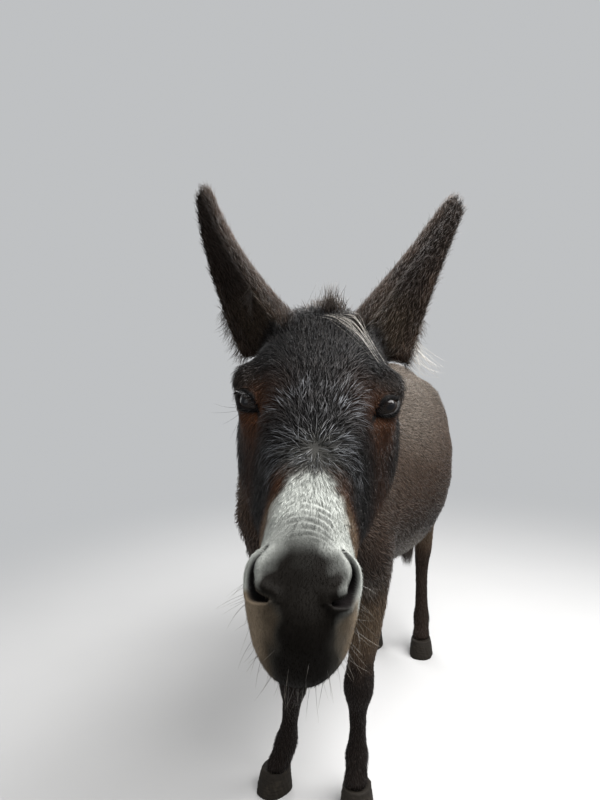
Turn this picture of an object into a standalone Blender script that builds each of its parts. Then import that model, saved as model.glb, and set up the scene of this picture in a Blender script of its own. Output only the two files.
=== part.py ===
"""A donkey, as a life-size still model: standing, head reached forward and to its left, ears up.

Metres, +Z up. The muzzle points towards -Y and the donkey's left side is +X.
The body is drawn in a standing frame whose origin is on the floor below the shoulders; the root empty then
carries everything so that the model's bounding box stands centred on the world origin.

The flesh is lofted from stations along the trunk, neck, head and legs, rounded out with ellipsoid muscles,
fused by a voxel remesh, smoothed, and thinned. Blocks then part it into named pieces with thin gaps.
"""

import math

import bmesh
import bpy
import numpy as np
from mathutils import Matrix, Vector

# ---------------------------------------------------------------- driving dimensions
GAP = 0.0003                 # clear gap between neighbouring pieces
LEFT, RIGHT = 1, -1
SIDES = {"left": LEFT, "right": RIGHT}

FLESH_VOXEL = 0.005          # voxel of the fused body
FLESH_TRIANGLES = 4200       # triangles kept on the whole body

POLL = Vector((0.220, -0.532, 1.202))
HEAD_YAW = math.radians(14.2)     # the nose turns this far to the donkey's left
HEAD_PITCH = math.radians(38.6)   # the face slopes this far below level
HEAD_ROLL = math.radians(-5.5)

EYE_RADIUS = 0.0205
EAR_LENGTH = 0.250

COAT = (0.060, 0.045, 0.038)
MUZZLE = (0.55, 0.52, 0.48)
HORN = (0.045, 0.042, 0.040)
EYE = (0.015, 0.010, 0.008)
HAIR = (0.020, 0.016, 0.014)


# ---------------------------------------------------------------- helpers
def clear_scene():
    for obj in list(bpy.data.objects):
        bpy.data.objects.remove(obj, do_unlink=True)


def material(name, colour, roughness, metallic=0.0):
    made = bpy.data.materials.new(name)
    made.use_nodes = True
    shader = made.node_tree.nodes["Principled BSDF"]
    shader.inputs["Base Color"].default_value = (*colour, 1.0)
    shader.inputs["Roughness"].default_value = roughness
    shader.inputs["Metallic"].default_value = metallic
    return made


def add_object(name, mesh):
    obj = bpy.data.objects.new(name, mesh)
    bpy.context.scene.collection.objects.link(obj)
    return obj


def helper(obj):
    """A guide or cutter, which isn't part of the model."""
    obj.hide_render = True
    obj.display_type = "WIRE"
    return obj


def evaluated_mesh(obj):
    """The object's mesh with its modifiers applied."""
    graph = bpy.context.evaluated_depsgraph_get()
    graph.update()
    return bpy.data.meshes.new_from_object(obj.evaluated_get(graph))


def bake(obj):
    """Applies the object's modifiers."""
    mesh = evaluated_mesh(obj)
    obj.modifiers.clear()
    obj.data = mesh
    return obj


def join(name, objects):
    """One object that holds the meshes of several, in world space."""
    bm = bmesh.new()
    for obj in objects:
        mesh = obj.data.copy()
        mesh.transform(obj.matrix_basis)
        bm.from_mesh(mesh)
    mesh = bpy.data.meshes.new(name)
    bm.to_mesh(mesh)
    bm.free()
    for obj in objects:
        bpy.data.objects.remove(obj, do_unlink=True)
    return add_object(name, mesh)


def boolean(obj, cutter, operation):
    cut = obj.modifiers.new(operation.title(), "BOOLEAN")
    cut.operation = operation
    cut.solver = "EXACT"
    cut.object = cutter
    return cut


# ---------------------------------------------------------------- lofted forms
def eased(stations, steps):
    """Catmull-Rom interpolation of a table of stations, steps samples to each span."""
    table = np.array(stations, float)
    padded = np.vstack([2 * table[0] - table[1], table, 2 * table[-1] - table[-2]])
    rows = []
    for i in range(1, len(padded) - 2):
        before, start, end, after = padded[i - 1:i + 3]
        for t in np.arange(steps) / steps:
            rows.append(0.5 * (2 * start + (end - before) * t
                               + (2 * before - 5 * start + 4 * end - after) * t ** 2
                               + (3 * start - before - 3 * end + after) * t ** 3))
    rows.append(table[-1])
    return np.array(rows)


def eased_loop(points, steps):
    """A closed Catmull-Rom curve through points."""
    count = len(points)
    rows = eased(np.concatenate([points[-2:], points, points[:3]]), steps)
    return rows[2 * steps:(2 + count) * steps]


def skinned(name, rings):
    """A closed tube over rings of points, all with the same count, capped at both ends."""
    around = len(rings[0])
    points = np.concatenate(rings)
    faces = [tuple(range(around)), tuple(range(len(points) - around, len(points)))]
    for ring in range(len(rings) - 1):
        base = ring * around
        for k in range(around):
            after = (k + 1) % around
            faces.append((base + k, base + after, base + around + after, base + around + k))
    mesh = bpy.data.meshes.new(name)
    mesh.from_pydata(points.tolist(), [], faces)
    bm = bmesh.new()
    bm.from_mesh(mesh)
    bmesh.ops.recalc_face_normals(bm, faces=bm.faces)
    bm.to_mesh(mesh)
    bm.free()
    return add_object(name, mesh)


def loft(name, stations, up, power=2.2, steps=4, around=32):
    """A closed tube through stations (x, y, z, half width, rise, drop).

    Each ring is square to the path, as wide as its half width to each side, and reaches rise along up and
    drop against it. power 2 is an ellipse, and more is squarer.
    """
    rows = eased(stations, steps)
    centres = rows[:, :3]
    tangents = np.gradient(centres, axis=0)
    tangents /= np.linalg.norm(tangents, axis=1)[:, None]
    turn = np.arange(around) * 2 * math.pi / around
    across = np.sign(np.cos(turn)) * np.abs(np.cos(turn)) ** (2 / power)
    along = np.sign(np.sin(turn)) * np.abs(np.sin(turn)) ** (2 / power)
    rings = []
    for centre, tangent, (half, rise, drop) in zip(centres, tangents, rows[:, 3:6]):
        side = np.cross(tangent, np.array(up, float))
        side /= np.linalg.norm(side)
        top = np.cross(side, tangent)
        height = np.where(along > 0, rise, drop) * along
        rings.append(centre + np.outer(half * across, side) + np.outer(height, top))
    return skinned(name, rings)


def muscle(name, centre, radii, turn=None, segments=24):
    """An ellipsoid; turn is a rotation matrix for its own axes."""
    mesh = bpy.data.meshes.new(name)
    bm = bmesh.new()
    bmesh.ops.create_uvsphere(bm, u_segments=segments, v_segments=segments // 2, radius=1.0)
    turned = (turn or Matrix.Identity(3)).to_4x4()
    matrix = Matrix.Translation(centre) @ turned @ Matrix.Diagonal((*radii, 1.0))
    bmesh.ops.transform(bm, matrix=matrix, verts=bm.verts)
    bmesh.ops.recalc_face_normals(bm, faces=bm.faces)
    bm.to_mesh(mesh)
    bm.free()
    return add_object(name, mesh)


# ---------------------------------------------------------------- head frame
def head_axes():
    """(left, along the face, out of the forehead), as unit vectors in the standing frame."""
    heading = Vector((math.sin(HEAD_YAW), -math.cos(HEAD_YAW), 0))
    level_left = Vector((math.cos(HEAD_YAW), math.sin(HEAD_YAW), 0))
    face = heading * math.cos(HEAD_PITCH) - Vector((0, 0, math.sin(HEAD_PITCH)))
    brow = heading * math.sin(HEAD_PITCH) + Vector((0, 0, math.cos(HEAD_PITCH)))
    left = level_left * math.cos(HEAD_ROLL) + brow * math.sin(HEAD_ROLL)
    out = brow * math.cos(HEAD_ROLL) - level_left * math.sin(HEAD_ROLL)
    return left, face, out


HEAD_LEFT, HEAD_FACE, HEAD_OUT = head_axes()
HEAD_TURN = Matrix((HEAD_LEFT, HEAD_FACE, HEAD_OUT)).transposed()


def on_head(left, face, out):
    """A point given in the head's own frame, which starts at the poll."""
    return POLL + HEAD_LEFT * left + HEAD_FACE * face + HEAD_OUT * out


# ---------------------------------------------------------------- trunk and neck
TRUNK = (  # y, half width, height of the widest level, top line, belly line
    (-0.200, 0.040, 0.810, 0.860, 0.755),
    (-0.175, 0.090, 0.810, 0.925, 0.690),
    (-0.120, 0.135, 0.805, 0.985, 0.625),
    (-0.040, 0.172, 0.795, 1.045, 0.585),
    (0.050, 0.194, 0.780, 1.085, 0.560),
    (0.170, 0.222, 0.755, 1.080, 0.520),
    (0.330, 0.250, 0.735, 1.065, 0.485),
    (0.480, 0.258, 0.740, 1.062, 0.482),
    (0.600, 0.248, 0.770, 1.076, 0.530),
    (0.710, 0.228, 0.820, 1.080, 0.620),
    (0.810, 0.192, 0.855, 1.055, 0.690),
    (0.885, 0.145, 0.870, 1.010, 0.750),
    (0.930, 0.060, 0.885, 0.945, 0.830),
)

NECK = (  # x, y, z, half width, rise, drop
    (0.000, 0.120, 0.880, 0.105, 0.150, 0.165),
    (0.000, 0.010, 0.905, 0.118, 0.175, 0.190),
    (0.020, -0.110, 0.945, 0.114, 0.165, 0.178),
    (0.068, -0.230, 0.998, 0.101, 0.147, 0.150),
    (0.128, -0.350, 1.043, 0.091, 0.130, 0.130),
    (0.184, -0.445, 1.074, 0.086, 0.108, 0.115),
    (0.220, -0.505, 1.088, 0.080, 0.088, 0.100),
)


def trunk_form():
    stations = [(0, y, level, half, top - level, level - belly) for y, half, level, top, belly in TRUNK]
    return loft("trunk_form", stations, up=(0, 0, 1), power=2.05, around=40)


def neck_form():
    return loft("neck_form", NECK, up=(0, 0, 1), power=2.1)


def body_muscles():
    """Shoulders, forearm tops, hips and thighs, the same on both sides."""
    found = [muscle("withers", (0, 0.04, 1.00), (0.070, 0.20, 0.100)),
             muscle("breast", (0.0, -0.140, 0.790), (0.105, 0.075, 0.125)),
             muscle("croup", (0, 0.73, 0.970), (0.120, 0.19, 0.112))]
    for side in SIDES.values():
        found += [
            muscle("shoulder", (side * 0.108, -0.015, 0.830), (0.084, 0.150, 0.195)),
            muscle("point_of_shoulder", (side * 0.092, -0.115, 0.760), (0.082, 0.082, 0.120)),
            muscle("upper_arm", (side * 0.122, -0.020, 0.670), (0.075, 0.105, 0.125)),
            muscle("hip", (side * 0.108, 0.655, 0.935), (0.088, 0.130, 0.095)),
            muscle("thigh", (side * 0.118, 0.755, 0.790), (0.102, 0.160, 0.220)),
            muscle("buttock", (side * 0.080, 0.850, 0.865), (0.085, 0.080, 0.155)),
        ]
    return found


# ---------------------------------------------------------------- legs
FRONT_LEG = (  # z, x from the hoof, y from the hoof, half width, fore, aft
    (0.760, 0.000, -0.010, 0.060, 0.095, 0.095),
    (0.640, 0.004, 0.005, 0.064, 0.082, 0.088),
    (0.550, 0.004, 0.008, 0.058, 0.067, 0.070),
    (0.450, 0.002, 0.006, 0.047, 0.050, 0.050),
    (0.370, 0.000, 0.002, 0.038, 0.039, 0.041),
    (0.325, 0.000, 0.000, 0.042, 0.043, 0.038),
    (0.290, 0.000, 0.000, 0.040, 0.041, 0.037),
    (0.250, 0.000, 0.002, 0.029, 0.029, 0.033),
    (0.190, 0.000, 0.004, 0.025, 0.026, 0.031),
    (0.148, 0.000, 0.004, 0.028, 0.029, 0.035),
    (0.118, 0.000, 0.002, 0.034, 0.034, 0.041),
    (0.086, 0.000, -0.010, 0.029, 0.029, 0.034),
    (0.062, 0.000, -0.020, 0.034, 0.036, 0.037),
    (0.040, 0.000, -0.024, 0.032, 0.034, 0.032),
)

HIND_LEG = (
    (0.860, 0.000, -0.010, 0.085, 0.130, 0.120),
    (0.720, 0.008, -0.030, 0.088, 0.140, 0.125),
    (0.610, 0.008, -0.015, 0.073, 0.110, 0.098),
    (0.530, 0.006, 0.018, 0.055, 0.073, 0.067),
    (0.465, 0.002, 0.048, 0.042, 0.053, 0.053),
    (0.415, 0.000, 0.060, 0.039, 0.046, 0.051),
    (0.365, 0.000, 0.052, 0.036, 0.040, 0.041),
    (0.305, 0.000, 0.040, 0.028, 0.030, 0.034),
    (0.210, 0.000, 0.026, 0.026, 0.027, 0.032),
    (0.155, 0.000, 0.018, 0.029, 0.030, 0.036),
    (0.122, 0.000, 0.012, 0.034, 0.034, 0.041),
    (0.088, 0.000, -0.004, 0.029, 0.029, 0.034),
    (0.062, 0.000, -0.014, 0.034, 0.036, 0.037),
    (0.040, 0.000, -0.018, 0.032, 0.034, 0.032),
)

HOOF_HEIGHT = 0.058
HOOF = (  # z, y from the hoof, half width, fore, aft
    (HOOF_HEIGHT, -0.022, 0.0345, 0.038, 0.036),
    (0.040, -0.024, 0.0370, 0.043, 0.038),
    (0.015, -0.026, 0.0400, 0.050, 0.040),
    (0.000, -0.027, 0.0415, 0.054, 0.041),
)


class Stance:
    """Where a hoof stands and points, and the line its leg follows up from it."""

    def __init__(self, stations, hoof, line, toe_out=0.0):
        self.stations, self.x, self.y = stations, *hoof
        self.line = np.array([(0.0, *hoof), *line])   # height, x, y
        self.toe_out = math.radians(toe_out)

    def at(self, z):
        return [float(np.interp(z, self.line[:, 0], self.line[:, k])) for k in (1, 2)]


STANCES = {
    "front_left": Stance(FRONT_LEG, (0.072, 0.010), toe_out=4,
                         line=[(0.115, 0.070, 0.004), (0.31, 0.086, -0.007), (0.60, 0.118, 0.010)]),
    "front_right": Stance(FRONT_LEG, (-0.133, 0.004), toe_out=-24,
                          line=[(0.115, -0.120, -0.006), (0.31, -0.072, -0.032), (0.60, -0.112, 0.005)]),
    "hind_left": Stance(HIND_LEG, (0.086, 0.788), toe_out=6,
                        line=[(0.31, 0.090, 0.778), (0.60, 0.112, 0.755)]),
    "hind_right": Stance(HIND_LEG, (-0.094, 0.796), toe_out=-10,
                         line=[(0.31, -0.096, 0.786), (0.60, -0.112, 0.755)]),
}


def leg_form(name, stance):
    """The leg turns with its hoof below the knee."""
    stations = []
    for z, x, y, half, fore, aft in stance.stations:
        turned = Matrix.Rotation(stance.toe_out * min(max((0.45 - z) / 0.3, 0), 1), 2) @ Vector((0, y))
        line_x, line_y = stance.at(z)
        stations.append((line_x + math.copysign(x, line_x) + turned.x, line_y + turned.y, z, half, fore, aft))
    forward = Matrix.Rotation(stance.toe_out * 0.7, 3, "Z") @ Vector((0, -1, 0))
    return loft(f"leg_{name}_form", stations, up=forward, power=2.1, steps=3, around=24)


def hoof(name, stance):
    stations = [(0, y, z, half, fore, aft) for z, y, half, fore, aft in HOOF]
    made = loft(f"hoof_{name}", stations, up=(0, -1, 0), power=2.3, steps=1, around=28)
    turn = Matrix.Rotation(stance.toe_out, 4, "Z")
    made.data.transform(Matrix.Translation((stance.x, stance.y, 0)) @ turn)
    flatten_ends(made.data, 0.0, HOOF_HEIGHT)
    return made


def flatten_ends(mesh, low, high):
    """Puts the lowest and highest rings exactly level."""
    for vertex in mesh.vertices:
        if abs(vertex.co.z - low) < 0.006:
            vertex.co.z = low
        elif abs(vertex.co.z - high) < 0.006:
            vertex.co.z = high


# ---------------------------------------------------------------- head
# Half a cross-section: face position, forehead height, then (left, out) of the temple, cheek and jaw edge,
# and the height of the underside
HEAD = (
    (-0.050, -0.060, 0.035, -0.070, 0.052, -0.105, 0.035, -0.145, -0.155),
    (-0.020, -0.028, 0.048, -0.038, 0.074, -0.085, 0.055, -0.150, -0.170),
    (0.020, -0.010, 0.058, -0.020, 0.088, -0.075, 0.070, -0.160, -0.195),
    (0.070, 0.004, 0.064, -0.008, 0.098, -0.066, 0.090, -0.168, -0.220),
    (0.120, 0.012, 0.067, -0.003, 0.105, -0.062, 0.100, -0.166, -0.230),
    (0.170, 0.012, 0.065, -0.006, 0.104, -0.064, 0.103, -0.162, -0.226),
    (0.215, 0.008, 0.056, -0.009, 0.092, -0.074, 0.099, -0.148, -0.208),
    (0.265, 0.004, 0.045, -0.010, 0.075, -0.077, 0.084, -0.132, -0.180),
    (0.320, 0.000, 0.037, -0.010, 0.058, -0.066, 0.061, -0.112, -0.151),
    (0.370, -0.003, 0.034, -0.013, 0.049, -0.060, 0.047, -0.102, -0.134),
    (0.410, -0.003, 0.034, -0.013, 0.050, -0.054, 0.045, -0.097, -0.124),
    (0.443, -0.008, 0.034, -0.020, 0.051, -0.055, 0.044, -0.094, -0.117),
    (0.468, -0.022, 0.029, -0.032, 0.046, -0.061, 0.039, -0.091, -0.109),
    (0.485, -0.044, 0.020, -0.050, 0.032, -0.070, 0.027, -0.086, -0.098),
)


def head_form():
    rings = []
    for face, top, *edges, underside in eased(HEAD, 4):
        half = [(edges[k], edges[k + 1]) for k in (0, 2, 4)]
        loop = [(0, top), *half, (0, underside), *[(-left, out) for left, out in half[::-1]]]
        rings.append([on_head(left, face, out) for left, out in eased_loop(np.array(loop), 4)])
    return skinned("head_form", rings)


def head_muscle(name, left, face, out, radii, segments=24):
    return muscle(name, on_head(left, face, out), radii, HEAD_TURN, segments)


def head_lumps():
    """Brows, cheekbones, nostril wings, lips and chin."""
    found = [
        head_muscle("nose_tip", 0.0, 0.448, -0.048, (0.040, 0.046, 0.042)),
        head_muscle("upper_lip", 0.0, 0.471, -0.068, (0.040, 0.032, 0.031)),
        head_muscle("chin", 0.0, 0.446, -0.101, (0.033, 0.034, 0.019)),
    ]
    for side in SIDES.values():
        found += [
            head_muscle("brow", side * 0.082, 0.145, -0.038, (0.034, 0.046, 0.030)),
            head_muscle("eye_rim", side * 0.080, 0.178, -0.052, (0.027, 0.034, 0.030)),
            head_muscle("cheekbone", side * 0.058, 0.250, -0.078, (0.016, 0.085, 0.011)),
            head_muscle("nostril_wing", side * 0.036, 0.432, -0.042, (0.020, 0.036, 0.038)),
            head_muscle("nostril_flare", side * 0.0435, 0.414, -0.036, (0.0145, 0.037, 0.029)),
        ]
    return found


EYE_AT = (0.0800, 0.170, -0.041)      # left, face, out; mirrored for the right eye
EYE_LOOK = (0.52, 0.52, 0.68)
NOSTRIL_AT = (0.0465, 0.425, -0.014)
MOUTH_AT = (0.0, 0.464, -0.092)


def eye(name, side):
    left, face, out = EYE_AT
    return head_muscle(f"eye_{name}", side * left, face, out, (EYE_RADIUS,) * 3, 16)


def socket(name, side):
    left, face, out = EYE_AT
    return helper(head_muscle(f"socket_{name}", side * left, face, out, (EYE_RADIUS + GAP,) * 3, 16))


def eye_opening(name, side):
    """The almond between the lids: slanting down towards the nose, and clear of the eyeball's front."""
    left, face, out = EYE_AT
    look = Vector((side * EYE_LOOK[0], EYE_LOOK[1], EYE_LOOK[2])).normalized()
    slant = Vector((-side, 1, 0))
    along = (slant - look * look.dot(slant)).normalized()
    turn = HEAD_TURN @ Matrix((look, along, look.cross(along))).transposed()
    at = on_head(*(Vector((side * left, face, out)) + look * 0.026))
    return helper(muscle(f"lids_{name}", at, (0.026, 0.0190, 0.0130), turn, 16))


def nostril(name, side):
    left, face, out = NOSTRIL_AT
    tilt = Matrix.Rotation(side * math.radians(24), 3, "Y")
    slant = tilt @ Matrix.Rotation(side * math.radians(-14), 3, "Z")
    return helper(muscle(f"nostril_{name}", on_head(side * left, face, out), (0.0080, 0.021, 0.019),
                         HEAD_TURN @ slant, segments=12))


def mouth():
    """The slit between the lips."""
    return helper(head_muscle("mouth", *MOUTH_AT, (0.060, 0.052, 0.0020), 14))


# ---------------------------------------------------------------- ears
EAR = (  # share of the length, half width, cup depth, wall
    (0.00, 0.055, 0.046, 0.022),
    (0.12, 0.052, 0.041, 0.017),
    (0.30, 0.043, 0.032, 0.014),
    (0.50, 0.034, 0.024, 0.012),
    (0.70, 0.026, 0.017, 0.011),
    (0.86, 0.0205, 0.012, 0.010),
    (0.96, 0.0165, 0.008, 0.010),
    (1.00, 0.0095, 0.005, 0.008),
)


class EarPose:
    """An ear's root, the ways its tip points and its open side looks, and how far it bows."""

    def __init__(self, root, tip_dir, opening, bow):
        self.root, self.tip_dir = root, tip_dir.normalized()
        self.side = self.tip_dir.cross(opening).normalized()
        self.opening = self.side.cross(self.tip_dir)
        self.bow = bow


def ear_poses():
    poses = {}
    for name, side, width, lift, spread, turn, bow in (("left", LEFT, 0.072, 0.47, 0.43, 0.50, 0.002),
                                                       ("right", RIGHT, 0.067, 0.59, 0.48, 0.65, 0.029)):
        root = on_head(side * width, 0.030, -0.052)
        tip = HEAD_OUT * lift - HEAD_FACE * 0.66 + HEAD_LEFT * side * spread
        opening = HEAD_LEFT * side * turn + HEAD_OUT * 0.35 + HEAD_FACE * 0.65
        poses[name] = EarPose(root, tip, opening, HEAD_LEFT * side * bow)
    return poses


def ear(name, pose):
    """A leaf-shaped cup: each ring is a crescent, open towards the pose's opening."""
    arc = np.linspace(-1, 1, 7) * math.pi / 2
    rings = []
    for share, half, cup, wall in eased(EAR, 2):
        centre = pose.root + pose.tip_dir * share * EAR_LENGTH + pose.bow * 2 * share * (1 - share)
        outer = [(half * math.sin(t), -cup * math.cos(t) - wall * 0.5) for t in arc]
        depth = cup - wall * 0.4
        inner = [(half * 0.84 * math.sin(t), -depth * math.cos(t) + wall * 0.5) for t in arc[::-1]]
        rings.append([centre + pose.side * x + pose.opening * (y + cup * 0.5) for x, y in outer + inner])
    return skinned(f"ear_{name}", rings)


# ---------------------------------------------------------------- mane and tail
MANE = (  # y, half width, height above the crest
    (-0.530, 0.011, 0.006),
    (-0.505, 0.016, 0.024),
    (-0.430, 0.017, 0.042),
    (-0.330, 0.018, 0.046),
    (-0.220, 0.018, 0.042),
    (-0.120, 0.017, 0.034),
    (-0.030, 0.015, 0.022),
    (0.030, 0.011, 0.008),
)
MANE_ROOT = 0.030

TAIL = (  # y, z, half width, back, front
    (0.860, 0.955, 0.030, 0.024, 0.024),
    (0.920, 0.958, 0.032, 0.025, 0.028),
    (0.962, 0.915, 0.030, 0.025, 0.026),
    (0.975, 0.830, 0.026, 0.022, 0.022),
    (0.975, 0.720, 0.022, 0.019, 0.019),
    (0.970, 0.600, 0.018, 0.016, 0.016),
    (0.970, 0.500, 0.017, 0.016, 0.016),
)
TUFT_TOP = 0.500
TUFT = (
    (0.970, TUFT_TOP - GAP, 0.019, 0.018, 0.018),
    (0.971, 0.450, 0.028, 0.025, 0.023),
    (0.974, 0.380, 0.033, 0.029, 0.026),
    (0.976, 0.310, 0.028, 0.025, 0.022),
    (0.976, 0.255, 0.015, 0.014, 0.012),
    (0.975, 0.228, 0.005, 0.005, 0.005),
)


def mane_form(flesh):
    """An upright ridge whose foot lies below the crest it stands on."""
    path = eased(NECK, 8)
    stations = []
    for y, half, height in MANE:
        x = float(np.interp(-y, -path[:, 1], path[:, 0]))
        hit, crest, _, _ = flesh.ray_cast(Vector((x, y, 2)), Vector((0, 0, -1)))
        stations.append((x, y, crest.z, half, height, MANE_ROOT))
    return loft("mane", stations, up=(0, 0, 1), power=2.6, steps=2, around=12)


def hanging(name, stations):
    """The tail or its tuft: a tube down the middle of the rump."""
    return loft(name, [(0, y, z, half, back, front) for y, z, half, back, front in stations],
                up=(0, 1, 0.3), power=2.0, steps=2, around=16)


# ---------------------------------------------------------------- fusing and parting the flesh
def leg_forms():
    return [leg_form(name, stance) for name, stance in STANCES.items()]


def fused(name, forms, voxel, rounds):
    """One closed skin over the forms, smoothed."""
    made = join(name, forms)
    fuse = made.modifiers.new("Fuse", "REMESH")
    fuse.mode = "VOXEL"
    fuse.voxel_size = voxel
    soften = made.modifiers.new("Soften", "SMOOTH")
    soften.iterations = rounds
    return bake(made)


def positions(obj):
    points = np.empty(len(obj.data.vertices) * 3)
    obj.data.vertices.foreach_get("co", points)
    return points.reshape(-1, 3)


def weight(obj, name, values):
    """A vertex group from an array of weights, in tenths."""
    group = obj.vertex_groups.new(name=name)
    steps = np.round(values * 10).astype(int)
    for level in range(1, 11):
        group.add(np.nonzero(steps == level)[0].tolist(), level / 10, "REPLACE")
    return name


def headness(points):
    """1 on the head, 0 behind the poll and below the jaw, and between them at the throat."""
    from_poll = points - np.array(POLL)
    return (np.clip((from_poll @ np.array(HEAD_FACE) + 0.02) / 0.05, 0, 1)
            * np.clip((from_poll @ np.array(HEAD_OUT) + 0.32) / 0.05, 0, 1))


def flesh_form():
    """All the flesh but the ears and tail, fused and smoothed."""
    torso = fused("torso", [trunk_form(), neck_form(), *body_muscles(), *leg_forms()], 0.010, 36)
    flesh = fused("flesh", [torso, head_form(), *head_lumps(), *leg_forms()], FLESH_VOXEL, 11)
    soften_body(flesh, 30)
    thin(flesh)
    return helper(flesh)


def soften_body(flesh, rounds):
    """Rounds the trunk, neck and thighs, and leaves the head and lower legs crisp."""
    points = positions(flesh)
    body = np.clip((points[:, 2] - 0.44) / 0.16, 0, 1) * (1 - headness(points))
    soften = flesh.modifiers.new("Soften body", "SMOOTH")
    soften.iterations = rounds
    soften.vertex_group = weight(flesh, "body", body)
    bake(flesh)


def thin(flesh):
    """Keeps more triangles on the head and lower legs than on the trunk."""
    points = positions(flesh)
    head = headness(points)
    legs = np.clip((0.52 - points[:, 2]) / 0.1, 0, 1) * 0.7
    thinned = flesh.modifiers.new("Thin", "DECIMATE")
    thinned.ratio = FLESH_TRIANGLES / (2 * len(flesh.data.polygons))
    thinned.vertex_group = weight(flesh, "plain", 1 - 0.75 * np.maximum(head, legs))
    thinned.vertex_group_factor = 1.0
    bake(flesh)


def solid(name, corners):
    """The convex block with these corners."""
    mesh = bpy.data.meshes.new(name)
    bm = bmesh.new()
    for corner in corners:
        bm.verts.new(corner)
    bmesh.ops.convex_hull(bm, input=bm.verts)
    bmesh.ops.dissolve_limit(bm, angle_limit=0.01, verts=bm.verts, edges=bm.edges)
    bmesh.ops.recalc_face_normals(bm, faces=bm.faces)
    bm.to_mesh(mesh)
    bm.free()
    return helper(add_object(name, mesh))


def grown(block, by):
    """A copy of a convex block with every face moved out."""
    bm = bmesh.new()
    bm.from_mesh(block.data)
    bm.normal_update()
    moves = []
    for vertex in bm.verts:
        normals = np.array([face.normal for face in vertex.link_faces])
        moves.append(np.linalg.lstsq(normals, np.full(len(normals), by), rcond=None)[0])
    for vertex, move in zip(bm.verts, moves):
        vertex.co += Vector(move)
    mesh = bpy.data.meshes.new(f"{block.name}_clearance")
    bm.to_mesh(mesh)
    bm.free()
    return helper(add_object(mesh.name, mesh))


def box_corners(low, high):
    return [(x, y, z) for x in (low[0], high[0]) for y in (low[1], high[1]) for z in (low[2], high[2])]


NECK_SIDE = ((0.03, 1.50), (0.0, 1.12), (-0.19, 0.86), (-0.90, 0.80), (-0.90, 1.50))   # y, z
ELBOW, STIFLE = 0.530, 0.580     # heights at which the legs part from the trunk
UNDERGROUND = -0.05              # the leg blocks reach below the floor, so that nothing is left under them


def region_blocks():
    """The block that each flesh piece but the trunk is cut from."""
    blocks = {
        "head": solid("head_block",
                      [on_head(*p) for p in box_corners((-0.3, -0.020, -0.30), (0.3, 0.70, 0.15))]),
        "neck": solid("neck_block", [(x, y, z) for x in (-0.4, 0.7) for y, z in NECK_SIDE]),
    }
    for name, stance in STANCES.items():
        front = stance.stations is FRONT_LEG
        y, top = ((-0.25, 0.095), ELBOW) if front else ((0.62, 1.00), STIFLE)
        x = (GAP / 2, 0.40) if stance.x > 0 else (-0.40, -GAP / 2)
        corners = box_corners((x[0], y[0], UNDERGROUND), (x[1], y[1], top))
        blocks[f"leg_{name}"] = solid(f"leg_{name}_block", corners)
    return blocks


def cut_piece(name, flesh, keep=None, remove=()):
    """A copy of the flesh, kept inside one block and cleared of others."""
    piece = add_object(name, flesh.data.copy())
    if keep:
        boolean(piece, keep, "INTERSECT")
    for cutter in remove:
        boolean(piece, cutter, "DIFFERENCE")
    return bake(piece)


def part_flesh(flesh):
    blocks = region_blocks()
    clearances = {name: grown(block, GAP) for name, block in blocks.items()}
    hollows = [make(name, side) for name, side in SIDES.items() for make in (socket, eye_opening, nostril)]
    hollows.append(mouth())
    cut_piece("head", flesh, blocks["head"], hollows)
    cut_piece("neck", flesh, blocks["neck"], [clearances["head"]])
    cut_piece("trunk", flesh, None, clearances.values())
    hoof_room = solid("hoof_room", box_corners((-1, -1, 2 * UNDERGROUND), (1, 2, HOOF_HEIGHT + GAP)))
    for name in STANCES:
        cut_piece(f"leg_{name}", flesh, blocks[f"leg_{name}"], [hoof_room])


def clearance_skin(flesh):
    """The flesh, standing out by the gap, which clears whatever grows from it."""
    skin = helper(add_object("flesh_clearance", flesh.data.copy()))
    out = skin.modifiers.new("Clearance", "DISPLACE")
    out.strength = GAP
    out.mid_level = 0.0
    return bake(skin)


# ---------------------------------------------------------------- assembly
def dress(obj, colour, roughness):
    obj.data.materials.clear()
    obj.data.materials.append(material(f"{obj.name}_surface", colour, roughness))


def centre(names):
    """Hangs the nodes on a root empty that stands the whole model's box centred on the origin."""
    corners = np.concatenate([positions(bpy.data.objects[name]) for name in names])
    low, high = corners.min(axis=0), corners.max(axis=0)
    root = bpy.data.objects.new("donkey", None)
    bpy.context.scene.collection.objects.link(root)
    root.location = (-(low[0] + high[0]) / 2, -(low[1] + high[1]) / 2, -low[2])
    for name in names:
        bpy.data.objects[name].parent = root


def main():
    clear_scene()
    flesh = flesh_form()
    part_flesh(flesh)
    skin = clearance_skin(flesh)
    hoofs = [hoof(name, stance) for name, stance in STANCES.items()]
    eyes = [eye(name, side) for name, side in SIDES.items()]
    ears = [ear(name, pose) for name, pose in ear_poses().items()]
    tail, mane = hanging("tail", TAIL), mane_form(flesh)
    flatten_ends(tail.data, TUFT_TOP, TUFT_TOP)
    tuft = hanging("tail_tuft", TUFT)
    flatten_ends(tuft.data, TUFT_TOP - GAP, TUFT_TOP - GAP)
    for obj in (*ears, tail, mane):
        boolean(obj, skin, "DIFFERENCE")
        bake(obj)
    looks = {name: (COAT, 0.85) for name in ("head", "neck", "trunk", *(f"leg_{name}" for name in STANCES))}
    looks |= {obj.name: (COAT, 0.85) for obj in (*ears, tail)}
    looks |= {obj.name: (HAIR, 0.8) for obj in (mane, tuft)}
    looks |= {obj.name: (HORN, 0.5) for obj in hoofs} | {obj.name: (EYE, 0.08) for obj in eyes}
    for name, (colour, roughness) in looks.items():
        dress(bpy.data.objects[name], colour, roughness)
    centre(list(looks))


main()
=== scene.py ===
"""The looks of a life-size standing donkey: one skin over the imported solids, a coat of solid tufts that
follows the lie of the hair, eyes, hooves, mane, tail and whiskers.

Metres, +Z up, nose towards -Y, the donkey's left side is +X.
"""

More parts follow.
